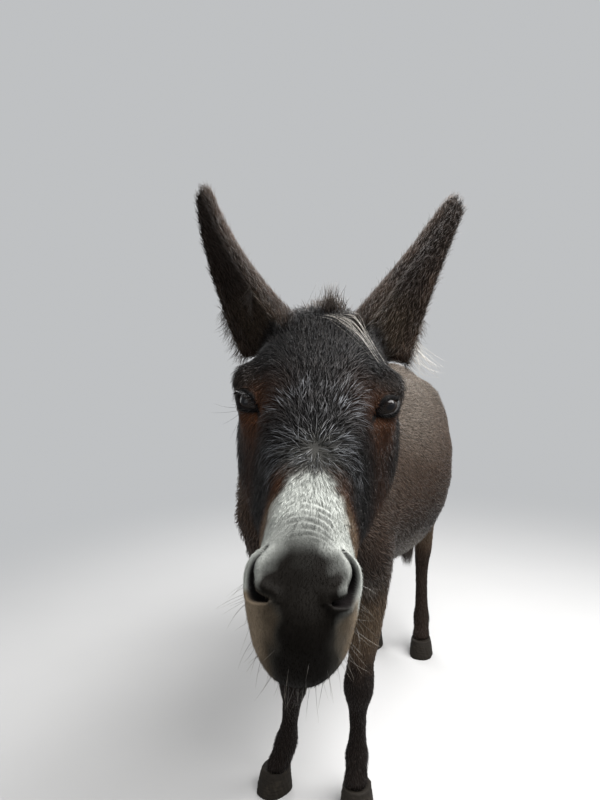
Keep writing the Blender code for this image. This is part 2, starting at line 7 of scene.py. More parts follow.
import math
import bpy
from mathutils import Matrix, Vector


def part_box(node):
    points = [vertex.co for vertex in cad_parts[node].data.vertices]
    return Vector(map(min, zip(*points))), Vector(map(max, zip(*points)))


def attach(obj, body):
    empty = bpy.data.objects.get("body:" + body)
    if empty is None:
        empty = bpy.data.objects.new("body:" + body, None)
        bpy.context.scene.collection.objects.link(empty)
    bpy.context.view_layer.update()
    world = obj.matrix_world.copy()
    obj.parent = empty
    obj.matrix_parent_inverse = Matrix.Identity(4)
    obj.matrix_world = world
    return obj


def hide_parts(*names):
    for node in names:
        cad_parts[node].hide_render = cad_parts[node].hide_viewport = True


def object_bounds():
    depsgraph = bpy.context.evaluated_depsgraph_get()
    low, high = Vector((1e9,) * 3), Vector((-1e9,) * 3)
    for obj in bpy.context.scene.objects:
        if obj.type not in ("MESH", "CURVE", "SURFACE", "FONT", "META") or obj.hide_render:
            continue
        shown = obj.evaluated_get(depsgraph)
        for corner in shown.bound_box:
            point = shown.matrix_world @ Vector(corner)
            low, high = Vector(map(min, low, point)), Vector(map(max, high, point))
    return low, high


bl_info = {
    "name": "Donkey Skin and Coat",
    "version": (1, 0, 0),
    "blender": (4, 5, 0),
    "location": "View3D > Sidebar > Donkey",
    "description": "Builds the skin, coat, eyes, hooves, mane and tail of a life-size donkey",
    "category": "Add Mesh",
}

import bpy
import numpy as np
from bpy.props import FloatProperty, FloatVectorProperty, PointerProperty
from mathutils import Matrix, Vector
from mathutils.bvhtree import BVHTree

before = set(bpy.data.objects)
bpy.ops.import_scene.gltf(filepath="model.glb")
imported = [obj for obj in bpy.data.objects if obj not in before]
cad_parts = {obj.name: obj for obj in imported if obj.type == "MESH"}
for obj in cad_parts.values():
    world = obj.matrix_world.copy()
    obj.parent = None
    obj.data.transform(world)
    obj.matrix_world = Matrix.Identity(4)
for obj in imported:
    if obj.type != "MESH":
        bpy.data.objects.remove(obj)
CAD_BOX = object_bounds()

BODY = "root"
SIDES = {"left": 1, "right": -1}
LEGS = tuple(f"leg_{end}_{side}" for end in ("front", "hind") for side in SIDES)
EARS = tuple(f"ear_{side}" for side in SIDES)
FLESH = ("head", "neck", "trunk", *LEGS, *EARS, "tail")
# the forehead's sheen mask is a painted highlight, and the muzzle's dark mask is partly painted shade
MASKS = ("black", "copper", "pale", "tan", "smoke", "silver")
MERGE = 0.00001                          # points this close together become one
DOWN, BACK = np.array((0, 0, -1.0)), np.array((0, 1.0, 0))


# ---------------------------------------------------------------- the head's own frame
HEAD_YAW, HEAD_PITCH, HEAD_ROLL = (math.radians(angle) for angle in (14.2, 38.6, -5.5))
EYE_IN_HEAD = (0.080, 0.170, -0.041)     # left, along the face, out; mirrored for the right eye
EYE_RADIUS = 0.0205

# Places on the head are metres to its left, along the face from the poll, and out of the forehead. The eyes
# lie 0.17 along the face, the whorl 0.27, the mouth's corners 0.40, the nostrils 0.43 and the lips near 0.50.
# Heights on the body are metres above the floor: the belly's lowest point is at 0.48 and the back near 1.07.


class HeadFrame:
    """Axes to the donkey's left, along the face and out of the forehead, and the poll, where they start."""

    def __init__(self):
        sine, cosine = math.sin, math.cos
        heading = np.array((sine(HEAD_YAW), -cosine(HEAD_YAW), 0))
        level = np.array((cosine(HEAD_YAW), sine(HEAD_YAW), 0))
        face = heading * cosine(HEAD_PITCH) - np.array((0, 0, sine(HEAD_PITCH)))
        brow = heading * sine(HEAD_PITCH) + np.array((0, 0, cosine(HEAD_PITCH)))
        left = level * cosine(HEAD_ROLL) + brow * sine(HEAD_ROLL)
        out = brow * cosine(HEAD_ROLL) - level * sine(HEAD_ROLL)
        self.axes = np.array((left, face, out))
        self.eyes = {side: np.mean(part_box(f"eye_{side}"), axis=0) for side in SIDES}
        middle = np.mean(list(self.eyes.values()), axis=0)
        self.poll = middle - np.array((0, *EYE_IN_HEAD[1:])) @ self.axes

    def places(self, points):
        """Points of the world as (left, face, out)."""
        return (points - self.poll) @ self.axes.T

    def points(self, places):
        """Points of the world from (left, face, out)."""
        return self.poll + np.asarray(places, float) @ self.axes

    def direction(self, left, face, out):
        turned = np.array((left, face, out), float) @ self.axes
        return turned / np.linalg.norm(turned)

    def from_point(self, points, place):
        """Distances of points of the world from a place on the head."""
        return np.linalg.norm(points - self.points(place), axis=1)


HEAD = HeadFrame()


# ---------------------------------------------------------------- numbers
def ramp(values, low, high):
    """0 below low, 1 above high, eased between; low may be the greater."""
    t = np.clip((values - low) / (high - low), 0, 1)
    return t * t * (3 - 2 * t)


def bump(values, width):
    return np.exp(-(values / width) ** 2)


def waves(points, wavelength, seed, count=9):
    """Smooth noise of about unit size, from plane waves in random directions."""
    draw = np.random.default_rng(seed)
    total = np.zeros(len(points))
    for _ in range(count):
        heading = draw.normal(size=3)
        heading *= 2 * math.pi / wavelength * draw.uniform(0.6, 1.5) / np.linalg.norm(heading)
        total += np.sin(points @ heading + draw.uniform(0, 2 * math.pi))
    return total * math.sqrt(2 / count)


def unit(vectors):
    return vectors / np.maximum(np.linalg.norm(vectors, axis=-1, keepdims=True), 1e-9)


def flattened(vectors, normals):
    """The vectors laid along the surface that has these normals, as unit vectors."""
    return unit(vectors - normals * np.sum(vectors * normals, axis=1, keepdims=True))


# ---------------------------------------------------------------- meshes
def read_rows(items, attribute, width, kind=np.float32):
    """One attribute of all the items of a mesh, a row for each."""
    values = np.empty(len(items) * width, kind)
    items.foreach_get(attribute, values)
    return values.reshape(-1, width)


def points_of(obj):
    return read_rows(obj.data.vertices, "co", 3).astype(float)


def set_points(obj, points):
    obj.data.vertices.foreach_set("co", points.astype(np.float32).ravel())
    obj.data.update()


def normals_of(obj):
    return read_rows(obj.data.vertex_normals, "vector", 3).astype(float)


def edges_of(obj):
    return read_rows(obj.data.edges, "vertices", 2, np.int32)


def triangles_of(obj):
    obj.data.calc_loop_triangles()
    return read_rows(obj.data.loop_triangles, "vertices", 3, np.int32)


def spread(values, edges, rounds):
    """Values at the vertices, averaged with their neighbours."""
    count = len(values)
    one, two = edges.T
    degree = np.bincount(one, minlength=count) + np.bincount(two, minlength=count)
    for _ in range(rounds):
        total = np.bincount(one, values[two], count) + np.bincount(two, values[one], count)
        values = 0.5 * values + 0.5 * total / np.maximum(degree, 1)
    return values


def add_mesh(name, points, faces):
    """An object from arrays; faces is a list of index arrays, each with one row a face."""
    mesh = bpy.data.meshes.new(name)
    corners = np.concatenate([rows.ravel() for rows in faces]).astype(np.int32)
    sizes = np.concatenate([np.full(len(rows), rows.shape[1]) for rows in faces])
    starts = np.concatenate([[0], np.cumsum(sizes)[:-1]]).astype(np.int32)
    mesh.vertices.add(len(points))
    mesh.vertices.foreach_set("co", points.astype(np.float32).ravel())
    mesh.loops.add(len(corners))
    mesh.loops.foreach_set("vertex_index", corners)
    mesh.polygons.add(len(sizes))
    mesh.polygons.foreach_set("loop_start", starts)
    mesh.update(calc_edges=True)
    mesh.shade_smooth()
    obj = bpy.data.objects.new(name, mesh)
    bpy.context.scene.collection.objects.link(obj)
    return obj


def repeated(faces, count, points):
    """The faces of so many like shapes, from those of the first and the number of its points."""
    offset = (np.arange(count) * points)[:, None, None]
    return [(rows[None] + offset).reshape(-1, rows.shape[1]) for rows in faces]


def set_attribute(obj, name, values):
    attribute = obj.data.attributes.new(name, "FLOAT", "POINT")
    attribute.data.foreach_set("value", values.astype(np.float32))


def select_only(*objects):
    bpy.ops.object.select_all(action="DESELECT")
    for obj in objects:
        obj.select_set(True)
    bpy.context.view_layer.objects.active = objects[-1]


def edit_all(obj, operator, **settings):
    """Runs one edit mode operator on the whole of an object."""
    select_only(obj)
    bpy.ops.object.mode_set(mode="EDIT")
    bpy.ops.mesh.select_all(action="SELECT")
    operator(**settings)
    bpy.ops.object.mode_set(mode="OBJECT")


def modify(obj, kind, **settings):
    """Adds a modifier and applies it."""
    select_only(obj)
    modifier = obj.modifiers.new(kind.title(), kind)
    for key, value in settings.items():
        setattr(modifier, key, value)
    bpy.ops.object.modifier_apply(modifier=modifier.name)


def weigh(obj, name, values):
    """A vertex group from an array, in tenths."""
    group = obj.vertex_groups.new(name=name)
    steps = np.round(values * 10).astype(int)
    for level in range(1, 11):
        group.add(np.nonzero(steps == level)[0].tolist(), level / 10, "REPLACE")
    return name


def copy_nodes(name, nodes):
    """The CAD nodes as one new object, their loose triangles merged."""
    copies = [bpy.data.objects.new(name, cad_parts[node].data.copy()) for node in nodes]
    for copy in copies:
        bpy.context.scene.collection.objects.link(copy)
        copy.data.materials.clear()
    select_only(*copies)
    if len(copies) > 1:
        bpy.ops.object.join()
    made = bpy.context.view_layer.objects.active
    made.name = name
    edit_all(made, bpy.ops.mesh.remove_doubles, threshold=MERGE)
    return made


def subdivide_where(obj, chosen):
    """Halves the edges of the faces whose centres are chosen by a function of (N, 3) points."""
    picked = chosen(read_rows(obj.data.polygons, "center", 3).astype(float))
    select_only(obj)
    bpy.ops.object.mode_set(mode="EDIT")
    bpy.ops.mesh.select_mode(type="FACE")
    bpy.ops.mesh.select_all(action="DESELECT")
    bpy.ops.object.mode_set(mode="OBJECT")
    obj.data.polygons.foreach_set("select", picked)
    bpy.ops.object.mode_set(mode="EDIT")
    bpy.ops.mesh.subdivide(number_cuts=1, ngon=False)
    bpy.ops.object.mode_set(mode="OBJECT")


def smooth_where(obj, name, weights, rounds):
    modify(obj, "SMOOTH", factor=0.5, iterations=rounds, vertex_group=weigh(obj, name, weights))


def refine(obj, name, chosen, rounds):
    """Doubles the detail where chosen, a function of (N, 3) points, is true, and smooths there."""
    subdivide_where(obj, chosen)
    smooth_where(obj, name, chosen(points_of(obj)).astype(float), rounds)


def finish_piece(obj, slot, material, *replaced):
    """The piece's material, its body, and the nodes it stands for, which are hidden. The slot is not used."""
    obj.data.materials.clear()
    obj.data.materials.append(material)
    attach(obj, BODY)
    if replaced:
        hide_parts(*replaced)


# ---------------------------------------------------------------- where the skin lies
class NearestNode:
    """Tells which flesh node lies nearest to a point."""

    def __init__(self):
        points, faces, self.owner = [], [], []
        for number, node in enumerate(FLESH):
            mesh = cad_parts[node].data
            base = len(points)
            points += [vertex.co for vertex in mesh.vertices]
            faces += [[base + corner for corner in face.vertices] for face in mesh.polygons]
            self.owner += [number] * len(mesh.polygons)
        self.tree = BVHTree.FromPolygons(points, faces)
        self.owner = np.array(self.owner)

    def of(self, points):
        return self.owner[[self.tree.find_nearest(point)[2] for point in points.tolist()]]


NEAREST = NearestNode()


def soft_regions(obj, rounds):
    """For each vertex, how far it belongs to each flesh node, and to groups of them, with soft borders."""
    owner, edges = NEAREST.of(points_of(obj)), edges_of(obj)
    region = {node: spread((owner == number).astype(float), edges, rounds)
              for number, node in enumerate(FLESH)}
    region["legs"] = sum(region[leg] for leg in LEGS)
    region["ears"] = sum(region[ear] for ear in EARS)
    region["body"] = region["neck"] + region["trunk"]
    return region


def over_parts(region, **values):
    """One measure over the whole skin, from its values on the head, the ears and so on."""
    return sum(region[part] * value for part, value in values.items())


def coat_depth(points, region):
    """How far the skin lies below the tips of the coat."""
    _, face, out = HEAD.places(points).T
    height = points[:, 2]
    on_jaw = ramp(out, -0.10, -0.16) * ramp(face, 0.36, 0.26)
    on_head = 0.0065 - 0.0050 * ramp(face, 0.28, 0.39) + 0.004 * on_jaw
    on_leg = 0.0015 + 0.0025 * ramp(height, 0.06, 0.12) + 0.007 * ramp(height, 0.30, 0.55)
    return over_parts(region, head=on_head, legs=on_leg, tail=0.007, neck=0.012, trunk=0.013)


# ---------------------------------------------------------------- eyes, nostrils, mouth and folds
EYE_LOOK, NOSTRIL_LOOK = (0.52, 0.52, 0.68), (0.52, 0.45, 0.72)       # of the left ones, in the head's frame


class EyeFrame:
    """Axes of one eye: look goes out of the head, along towards the nose, up towards the brow."""

    def __init__(self, side):
        sign, self.centre = SIDES[side], HEAD.eyes[side]
        self.look = HEAD.direction(sign * EYE_LOOK[0], *EYE_LOOK[1:])
        along = HEAD.direction(-sign, 1, 0)
        self.along = unit(along - self.look * (along @ self.look))
        up = np.cross(self.look, self.along) * sign
        self.up = up if up @ HEAD.axes[2] > 0 else -up

    def angles(self, points):
        """Arc lengths along and up over the ball, the distance from its centre, and how far ahead of it."""
        away = points - self.centre
        before = away @ self.look
        ahead = np.maximum(before, 1e-6)
        along, up = (EYE_RADIUS * np.arctan2(away @ axis, ahead) for axis in (self.along, self.up))
        return along, up, np.linalg.norm(away, axis=1), before

    def opening_gap(self, points, reach):
        """How far outside the lids' opening each point is; 1, which is far, behind the ball or past reach."""
        along, up, distance, ahead = self.angles(points)
        return np.where((ahead > 0) & (distance < reach), lid_distance(along, up), 1.0)

    def point(self, along, up, distance):
        """The place at these arc lengths and this distance from the ball's centre."""
        ray = (self.look + np.outer(np.tan(np.asarray(along) / EYE_RADIUS), self.along)
               + np.outer(np.tan(np.asarray(up) / EYE_RADIUS), self.up))
        return self.centre + unit(ray) * np.asarray(distance)[..., None]


EYES = {side: EyeFrame(side) for side in SIDES}
LID_LENGTH_NOSE, LID_LENGTH_BACK = 0.0205, 0.0180     # from the middle of the opening to its corners
UPPER_LID, LOWER_LID = 0.0084, 0.0074                 # heights of the opening above and below its corners
LID_PROUD, LID_CLEAR = 0.0021, 0.0013                 # the edge over the ball, and the least anywhere over it
EYE_REACH, EYE_FADE = 0.055, 0.042                    # where the lids end, and where they start to fade
UPPER_FOLDS = ((0.0017, 0.0062, 0.0013), (0.0010, 0.0105, 0.0014), (-0.0009, 0.0083, 0.0014))
LOWER_FOLDS = ((0.0010, 0.0058, 0.0014), (0.0006, 0.0100, 0.0015))     # depth, distance from the edge, width


def lid_line(along):
    """Heights of the upper and lower lid's edge over the eyeball, and how far past a corner a place is."""
    reach = np.where(along > 0, LID_LENGTH_NOSE, LID_LENGTH_BACK)
    share = np.clip(np.abs(along) / reach, 0, 1)
    arch = 1 - share ** 2
    return UPPER_LID * arch ** 0.62, -LOWER_LID * arch ** 0.85, np.maximum(np.abs(along) - reach, 0)


def lid_distance(along, up):
    """About how far outside the lids' opening a place is; less than 0 inside it."""
    upper, lower, past = lid_line(along)
    return np.where(past > 0, np.hypot(past, up), np.maximum(up - upper, lower - up))


def onto_rim(along, up, within):
    """Moves the places that lie near the opening's edge onto it, so that the edge comes out clean."""
    step = 1e-5
    gap = lid_distance(along, up)
    slope = np.stack([lid_distance(along + step, up) - lid_distance(along - step, up),
                      lid_distance(along, up + step) - lid_distance(along, up - step)]) / (2 * step)
    near = np.abs(gap) < within
    shift = np.where(near, gap, 0) * slope / np.maximum((slope ** 2).sum(axis=0), 0.3)
    return along - shift[0], up - shift[1]


def creases(gap, folds):
    """How deep the folds round the lids are at each distance outside the opening."""
    return sum(depth * bump(gap - place, width) for depth, place, width in folds)


def press_eye(points, eye):
    """Lids over the eyeball, with their folds, open in an almond."""
    along, up, distance, ahead = eye.angles(points)
    near = (distance < EYE_REACH) & (ahead > 0.004)
    along, up = onto_rim(along[near], up[near], 0.0006)
    gap = lid_distance(along, up)
    lid = EYE_RADIUS + LID_PROUD + 0.0009 * ramp(gap, 0, 0.004)
    hold, above = ramp(gap, 0.0165, 0.0045), ramp(up, -0.001, 0.004)
    shape = hold * lid + (1 - hold) * distance[near]
    shape -= above * creases(gap, UPPER_FOLDS)
    shape -= (1 - above) * creases(gap, LOWER_FOLDS)
    inside = ramp(-gap, 0.0, 0.0011)
    edge = (1 - inside) * (EYE_RADIUS + LID_PROUD * 0.8) + inside * (EYE_RADIUS - 0.004)
    shape = np.where(gap < 0, edge, np.maximum(shape, EYE_RADIUS + LID_CLEAR))
    moved = points.copy()
    fade = ramp(distance[near], EYE_REACH, EYE_FADE)[:, None]
    moved[near] = points[near] * (1 - fade) + eye.point(along, up, shape) * fade
    away = moved - eye.centre
    distance = np.linalg.norm(away, axis=1)
    buried = (distance < EYE_RADIUS + LID_CLEAR) & (away @ eye.look > -0.010)
    buried[near] &= gap >= 0
    moved[buried] = eye.centre + away[buried] / distance[buried, None] * (EYE_RADIUS + LID_CLEAR)
    return moved


NOSTRIL_COMMA = ((0.0420, 0.395, -0.010), (0.0600, 0.430, -0.034), (0.0335, 0.4500, -0.010))  # top, bend, end
NOSTRIL_REACH = 0.045


class NostrilFrame:
    """Flat axes over one nostril, and the comma that its slit draws in them."""

    def __init__(self, side):
        sign = SIDES[side]
        top, bend, end = (HEAD.points((sign * left, face, out)) for left, face, out in NOSTRIL_COMMA)
        t = np.linspace(0, 1, 25)[:, None]
        comma = (1 - t) ** 2 * top + 2 * t * (1 - t) * bend + t ** 2 * end
        self.centre = comma[12]
        self.out = HEAD.direction(sign * NOSTRIL_LOOK[0], *NOSTRIL_LOOK[1:])
        along = HEAD.direction(0, 1, -0.3)
        self.along = unit(along - self.out * (along @ self.out))
        across = np.cross(self.along, self.out)
        self.across = across if across @ HEAD.direction(sign, 0, -0.6) > 0 else -across
        self.line = np.column_stack([(comma - self.centre) @ self.along, (comma - self.centre) @ self.across])

    def gap(self, points):
        """How far outside the slit each point is, less than 0 inside it, and 1 if on its cheek side."""
        away = points - self.centre
        near = np.linalg.norm(away, axis=1) < NOSTRIL_REACH
        spots = np.column_stack([away[near] @ self.along, away[near] @ self.across])
        starts, steps = self.line[:-1], np.diff(self.line, axis=0)
        from_start = spots[:, None] - starts[None]
        share = np.clip((from_start * steps).sum(axis=-1) / (steps ** 2).sum(axis=-1), 0, 1)
        miss = from_start - share[..., None] * steps
        distance = np.linalg.norm(miss, axis=-1)
        best, rows = distance.argmin(axis=1), np.arange(len(spots))
        t = (best + share[rows, best]) / len(starts)
        half = 0.0010 + 0.0046 * np.sin(2.83 * t ** 1.3)
        turn = steps[best, 0] * miss[rows, best, 1] - steps[best, 1] * miss[rows, best, 0]
        gap, outer = np.full(len(points), 1.0), np.zeros(len(points))
        gap[near], outer[near] = distance[rows, best] - half, turn > 0
        return gap, outer


def press_nostril(points, normals, nostril):
    """A comma-shaped slit between a flaring outer rim and a round inner fold."""
    gap, outer = nostril.gap(points)
    fade = ramp(np.linalg.norm(points - nostril.centre, axis=1), NOSTRIL_REACH, NOSTRIL_REACH * 0.7)
    swell = outer * 0.0030 * bump(gap - 0.0022, 0.0036) + (1 - outer) * 0.0030 * bump(gap - 0.0060, 0.0046)
    swell = np.where(gap > -0.0015, swell, 0)
    sink = 0.0160 * ramp(-gap, -0.0004, 0.0036)
    inwards = nostril.out * 0.9 + nostril.across * 0.25
    return points + (fade * swell)[:, None] * normals - (fade * sink)[:, None] * inwards


NOSTRILS = {side: NostrilFrame(side) for side in SIDES}
MOUTH_OUT, MOUTH_CORNER = -0.092, 0.404      # how far out the slit between the lips lies, and where it ends


def mouth_line(face):
    """How far out the slit lies, rising a little towards the front."""
    return MOUTH_OUT + 0.010 * ramp(face, 0.44, 0.50)


def press_mouth(points, normals):
    """A groove between the lips, which swell beside it."""
    _, face, out = HEAD.places(points).T
    from_slit = out - mouth_line(face)
    on_lips = ramp(face, MOUTH_CORNER - 0.002, MOUTH_CORNER + 0.010)
    groove = 0.0042 * bump(from_slit, 0.0017) - 0.0010 * bump(np.abs(from_slit) - 0.0055, 0.0030)
    return points - normals * (groove * on_lips)[:, None]


BROWS = {-1: ((-0.090, 0.128, -0.016), 0.0080), 1: ((0.090, 0.128, -0.016), 0.0035)}     # place and height


def press_brows(points):
    """The bony brow over each eye stands out to the side."""
    for sign, (place, height) in BROWS.items():
        near = bump(HEAD.from_point(points, place), 0.030)
        points = points + height * near[:, None] * HEAD.direction(sign, -0.1, 0.35)
    return points


NOSE_WRINKLE = 0.0080                        # from one wrinkle of the nose to the next


def nose_wrinkles(points):
    """Arched wrinkles across the nose, from -1 in a crease to 1 on a fold."""
    left, face, out = HEAD.places(points).T
    near = ramp(face, 0.334, 0.354) * ramp(face, 0.398, 0.380)
    near = near * ramp(np.abs(left), 0.037, 0.020) * ramp(out, -0.040, -0.020)
    arched = face - 16.0 * left ** 2 + 0.0013 * waves(points, 0.040, 5)
    depth = np.clip(0.75 + 0.45 * waves(points, 0.022, 6), 0.1, 1.2)
    return near * np.sin(arched * math.tau / NOSE_WRINKLE) * depth


def press_folds(points, normals):
    """Wrinkles across the nose, and the soft hollow behind each nostril."""
    left, face, out = HEAD.places(points).T
    behind = bump(face - 0.385, 0.020) * bump(np.abs(left) - 0.043, 0.010) * ramp(out, -0.060, -0.030)
    return points + normals * (0.00055 * nose_wrinkles(points) - 0.0030 * behind)[:, None]


# ---------------------------------------------------------------- the lie and the markings of the coat
WHORL = (0.004, 0.274, 0.003)                # where the hair of the face parts
EAR_OPEN = {"ear_left": (0.50, 0.65, 0.35), "ear_right": (-0.85, 0.65, 0.35)}      # the way each cup opens
EAR_FOOT = 0.05                              # height of the part of an ear that counts as its foot
SPINE_X = float(np.mean(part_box("tail"), axis=0)[0])
CROSS_Y = float(np.mean(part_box("leg_front_left"), axis=0)[1]) + 0.04     # of the stripe over the withers


def ear_axis(ear, sign):
    """The middle of the ear's foot, its tip, the way its cup opens and the way out from the head."""
    points = points_of(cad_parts[ear])
    tip = points[np.argmax(points[:, 2])]
    root = points[points[:, 2] < points[:, 2].min() + EAR_FOOT].mean(axis=0)
    return root, tip, HEAD.direction(*EAR_OPEN[ear]), HEAD.axes[0] * sign


EAR_AXES = {ear: ear_axis(ear, sign) for ear, sign in zip(EARS, SIDES.values())}


def lie_of_coat(points, normals, region):
    """The direction in which the hair lies at each place, along the skin."""
    sides = np.abs(normals[:, :1])
    legs = region["legs"][:, None]
    low = np.maximum(legs, ramp(points[:, 2], 0.66, 0.50)[:, None] * region["trunk"][:, None] * sides)
    trunk = BACK + DOWN * (0.25 + 0.55 * sides) + DOWN * 0.8 * ramp(-normals[:, 1:2], 0.3, 0.9)
    left, face, _ = HEAD.places(points).T
    sweep = 1.5 * ramp(np.abs(left), 0.018, 0.075) * ramp(face, 0.05, 0.14)
    lie = region["head"][:, None] * unit(unit(points - HEAD.points(WHORL)) + sweep[:, None] * HEAD.axes[1])
    lie += region["body"][:, None] * (1 - low) * trunk
    lie += (legs + low * (1 - legs)) * (DOWN + 0.15 * BACK)
    lie += region["tail"][:, None] * (DOWN + 0.3 * BACK * ramp(points[:, 2:3], 0.90, 0.96))
    for ear in EARS:
        root, tip, *_ = EAR_AXES[ear]
        lie += region[ear][:, None] * unit(tip - root)
    return flattened(lie, normals)


def from_eyes(points):
    """The distance to the centre of the nearer eye."""
    return np.min([np.linalg.norm(points - eye.centre, axis=1) for eye in EYES.values()], axis=0)


def eye_nearness(points):
    """1 at the lids, falling away round them."""
    return ramp(from_eyes(points), 0.060, 0.026)


def lid_skin(points):
    """1 on the thin dark skin of the lids, falling away round it."""
    return np.maximum.reduce([ramp(eye.opening_gap(points, 0.045), 0.0100, 0.0040) for eye in EYES.values()])


def bare_places(points):
    """1 where no hair grows: inside the lids, the nostrils and the mouth."""
    _, face, out = HEAD.places(points).T
    bare = (np.abs(out - mouth_line(face)) < 0.0024) & (face > MOUTH_CORNER)
    for eye in EYES.values():
        bare |= eye.opening_gap(points, 0.03) < 0.0012
    for nostril in NOSTRILS.values():
        bare |= nostril.gap(points)[0] < 0.0008
    return bare.astype(float)


def half_bridge(face):
    """Half the width of the pale bridge of the nose."""
    return 0.022 + 0.020 * ramp(face, 0.305, 0.345) + 0.05 * ramp(face, 0.350, 0.385)


def muzzle_marks(points, head, ragged):
    """The pale bridge and muzzle, the tan of their lower sides, and the dark of the nose and lips, partly
    their own colour and partly painted shade on the nose's front, in its wrinkles and round the nostril
    slits.
    """
    left, face, out = HEAD.places(points).T
    side, width = np.abs(left), half_bridge(face)
    bridge = ramp(face + ragged, 0.297, 0.314) * ramp(side + ragged, width + 0.005, width - 0.005)
    muzzle = ramp(face + 0.18 * (out + 0.05) + ragged, 0.350, 0.380)
    fringe = 0.16 * head * ramp(face + 3 * ragged, 0.248, 0.290) * ramp(side + ragged, 0.040, 0.014)
    pale = np.maximum(head * np.maximum(bridge, muzzle), fringe)

    tan = head * ramp(out + 0.009 * (left > 0), -0.004, -0.018) * ramp(face, 0.425, 0.450)
    tan *= ramp(side + 0.5 * ragged + 0.004 * (left < 0), 0.008, 0.056) * (1 - 0.5 * (left > 0))

    # The dark front of the nose, fading out at its sides: partly its own colour, partly painted shade where
    # the nose turns down out of the overhead light.
    reach = 0.016 + 0.010 * ramp(face, 0.385, 0.430)
    middle = ramp(side + 0.5 * ragged, reach + 0.026, reach - 0.008)
    folds = 0.46 * bump(side - 0.036, 0.012) * bump(face - 0.425, 0.026) * ramp(out, -0.045, -0.022)
    lobes = 0.20 * bump(left - 0.043, 0.010) * bump(face - 0.454, 0.014) * ramp(out, -0.050, -0.026)
    front = (0.43 * ramp(face, 0.345, 0.370) + 0.555 * ramp(face, 0.366, 0.407)) * middle + folds + lobes
    lips = ramp(face + 0.2 * (-0.03 - out), 0.448, 0.490) * ramp(side, 0.047, 0.012)
    slit = bump(out - mouth_line(face), 0.009) * ramp(face, MOUTH_CORNER, MOUTH_CORNER + 0.02)
    # painted shade round the nostril slits
    rims = np.maximum.reduce([ramp(nostril.gap(points)[0], 0.0042, 0.0012) for nostril in NOSTRILS.values()])
    rear = 0.16 * ramp(face, 0.415, 0.455)
    # painted shade in the creases of the nose's wrinkles
    wrinkles = 0.26 * ramp(-nose_wrinkles(points), 0.1, 0.8) * (1 - front)
    smoke = np.clip(front + 0.97 * lips + 0.6 * slit + 0.34 * rims + rear + wrinkles, 0, 0.995)
    return pale, tan, smoke * (head * (1 - 0.85 * ramp(tan, 0.10, 1.0)))


def copper_marks(points, head):
    """Copper beside the bridge of the nose, before the eyes and on the cheeks."""
    left, face, _ = HEAD.places(points).T
    side = np.abs(left)
    beside = bump(side - half_bridge(face) - 0.007, 0.011)
    beside = beside * ramp(face, 0.285, 0.305) * ramp(face, 0.400, 0.365)
    eyes = np.zeros(len(points))
    for eye in EYES.values():
        away = points - eye.centre
        around = np.linalg.norm(away - eye.along * 0.018 + eye.up * 0.004, axis=1)
        eyes += bump(around, 0.034) * ramp(away @ eye.along, -0.022, 0.004)
    cheeks = 0.35 * ramp(side, 0.060, 0.085) * ramp(face, 0.20, 0.26)
    return head * np.clip(0.75 * beside + 1.25 * eyes + cheeks, 0, 1)


def painted_sheen_marks(points, head):
    """Painted sheen: lighter tips over the crown, in patches, and round the whorl, standing in for the
    overhead light's gloss on the black hair.
    """
    left, face, out = HEAD.places(points).T
    patches = np.clip(0.70 + 0.45 * waves(points, 0.050, 19), 0.15, 1.2)
    # painted light: the donkey's left of the crown, the lit side, is lighter still
    crown = (1 + 0.3 * ramp(left, 0.0, 0.03)) * ramp(np.abs(left), 0.080, 0.040)
    crown = crown * ramp(face, 0.320, 0.290) * ramp(face, 0.08, 0.24) * patches
    at_whorl = bump(HEAD.from_point(points, WHORL), 0.030)
    return head * np.clip(crown + 0.7 * at_whorl, 0, 1) * ramp(out, -0.075, -0.030)


def ear_marks(points, normals, region):
    """The lighter hair inside the cups of the ears, and the tan at their feet."""
    inside, feet = np.zeros(len(points)), np.zeros(len(points))
    for ear in EARS:
        root, tip, _, outward = EAR_AXES[ear]
        medial, along = -normals @ outward, (points - root) @ unit(tip - root)
        feet += region[ear] * ramp(along, 0.090, 0.030) * ramp(-medial, -0.5, 0.3)
        inside += region[ear] * 0.62 * ramp(medial + 0.2 * waves(points, 0.02, 17), 0.1, 0.7)
    return inside, feet


def body_marks(points, normals, region, ragged):
    """The pale belly, tan forearms, the stripe and cross on the back, a painted highlight over the top of the
    back and neck, and painted shade on the lower flanks.
    """
    body, trunk, legs = region["body"], region["trunk"], region["legs"]
    from_spine, height = points[:, 0] - SPINE_X, points[:, 2]
    underside = ramp(-normals[:, 2] + 0.25 * waves(points, 0.12, 13), 0.35, 0.85)
    belly = trunk * underside * ramp(height, 0.66, 0.58)
    inner_leg = legs * ramp(-normals[:, 0] * np.sign(from_spine), -0.1, 0.8)
    forearm = (0.55 * legs + 0.35 * inner_leg) * ramp(height, 0.36, 0.44) * ramp(height, 0.66, 0.52)
    # painted highlight: the top of the back and neck lighter, as if lit from above
    painted_top_light = body * ramp(height + 0.02 * waves(points, 0.14, 23), 0.76, 1.00)
    stripe = body * ramp(np.abs(from_spine) + 0.4 * ragged, 0.026, 0.012) * ramp(normals[:, 2], 0.6, 0.9)
    stripe *= ramp(height, 0.80, 0.90)
    cross = trunk * bump(points[:, 1] - CROSS_Y + 0.5 * ragged, 0.020) * ramp(height, 0.80, 0.95)
    # painted shade: the lower neck and flanks darker, as if out of the overhead light
    flank = body * ramp(height, 0.86, 0.56) * (1 - belly)
    return belly, forearm, painted_top_light, stripe, cross, flank


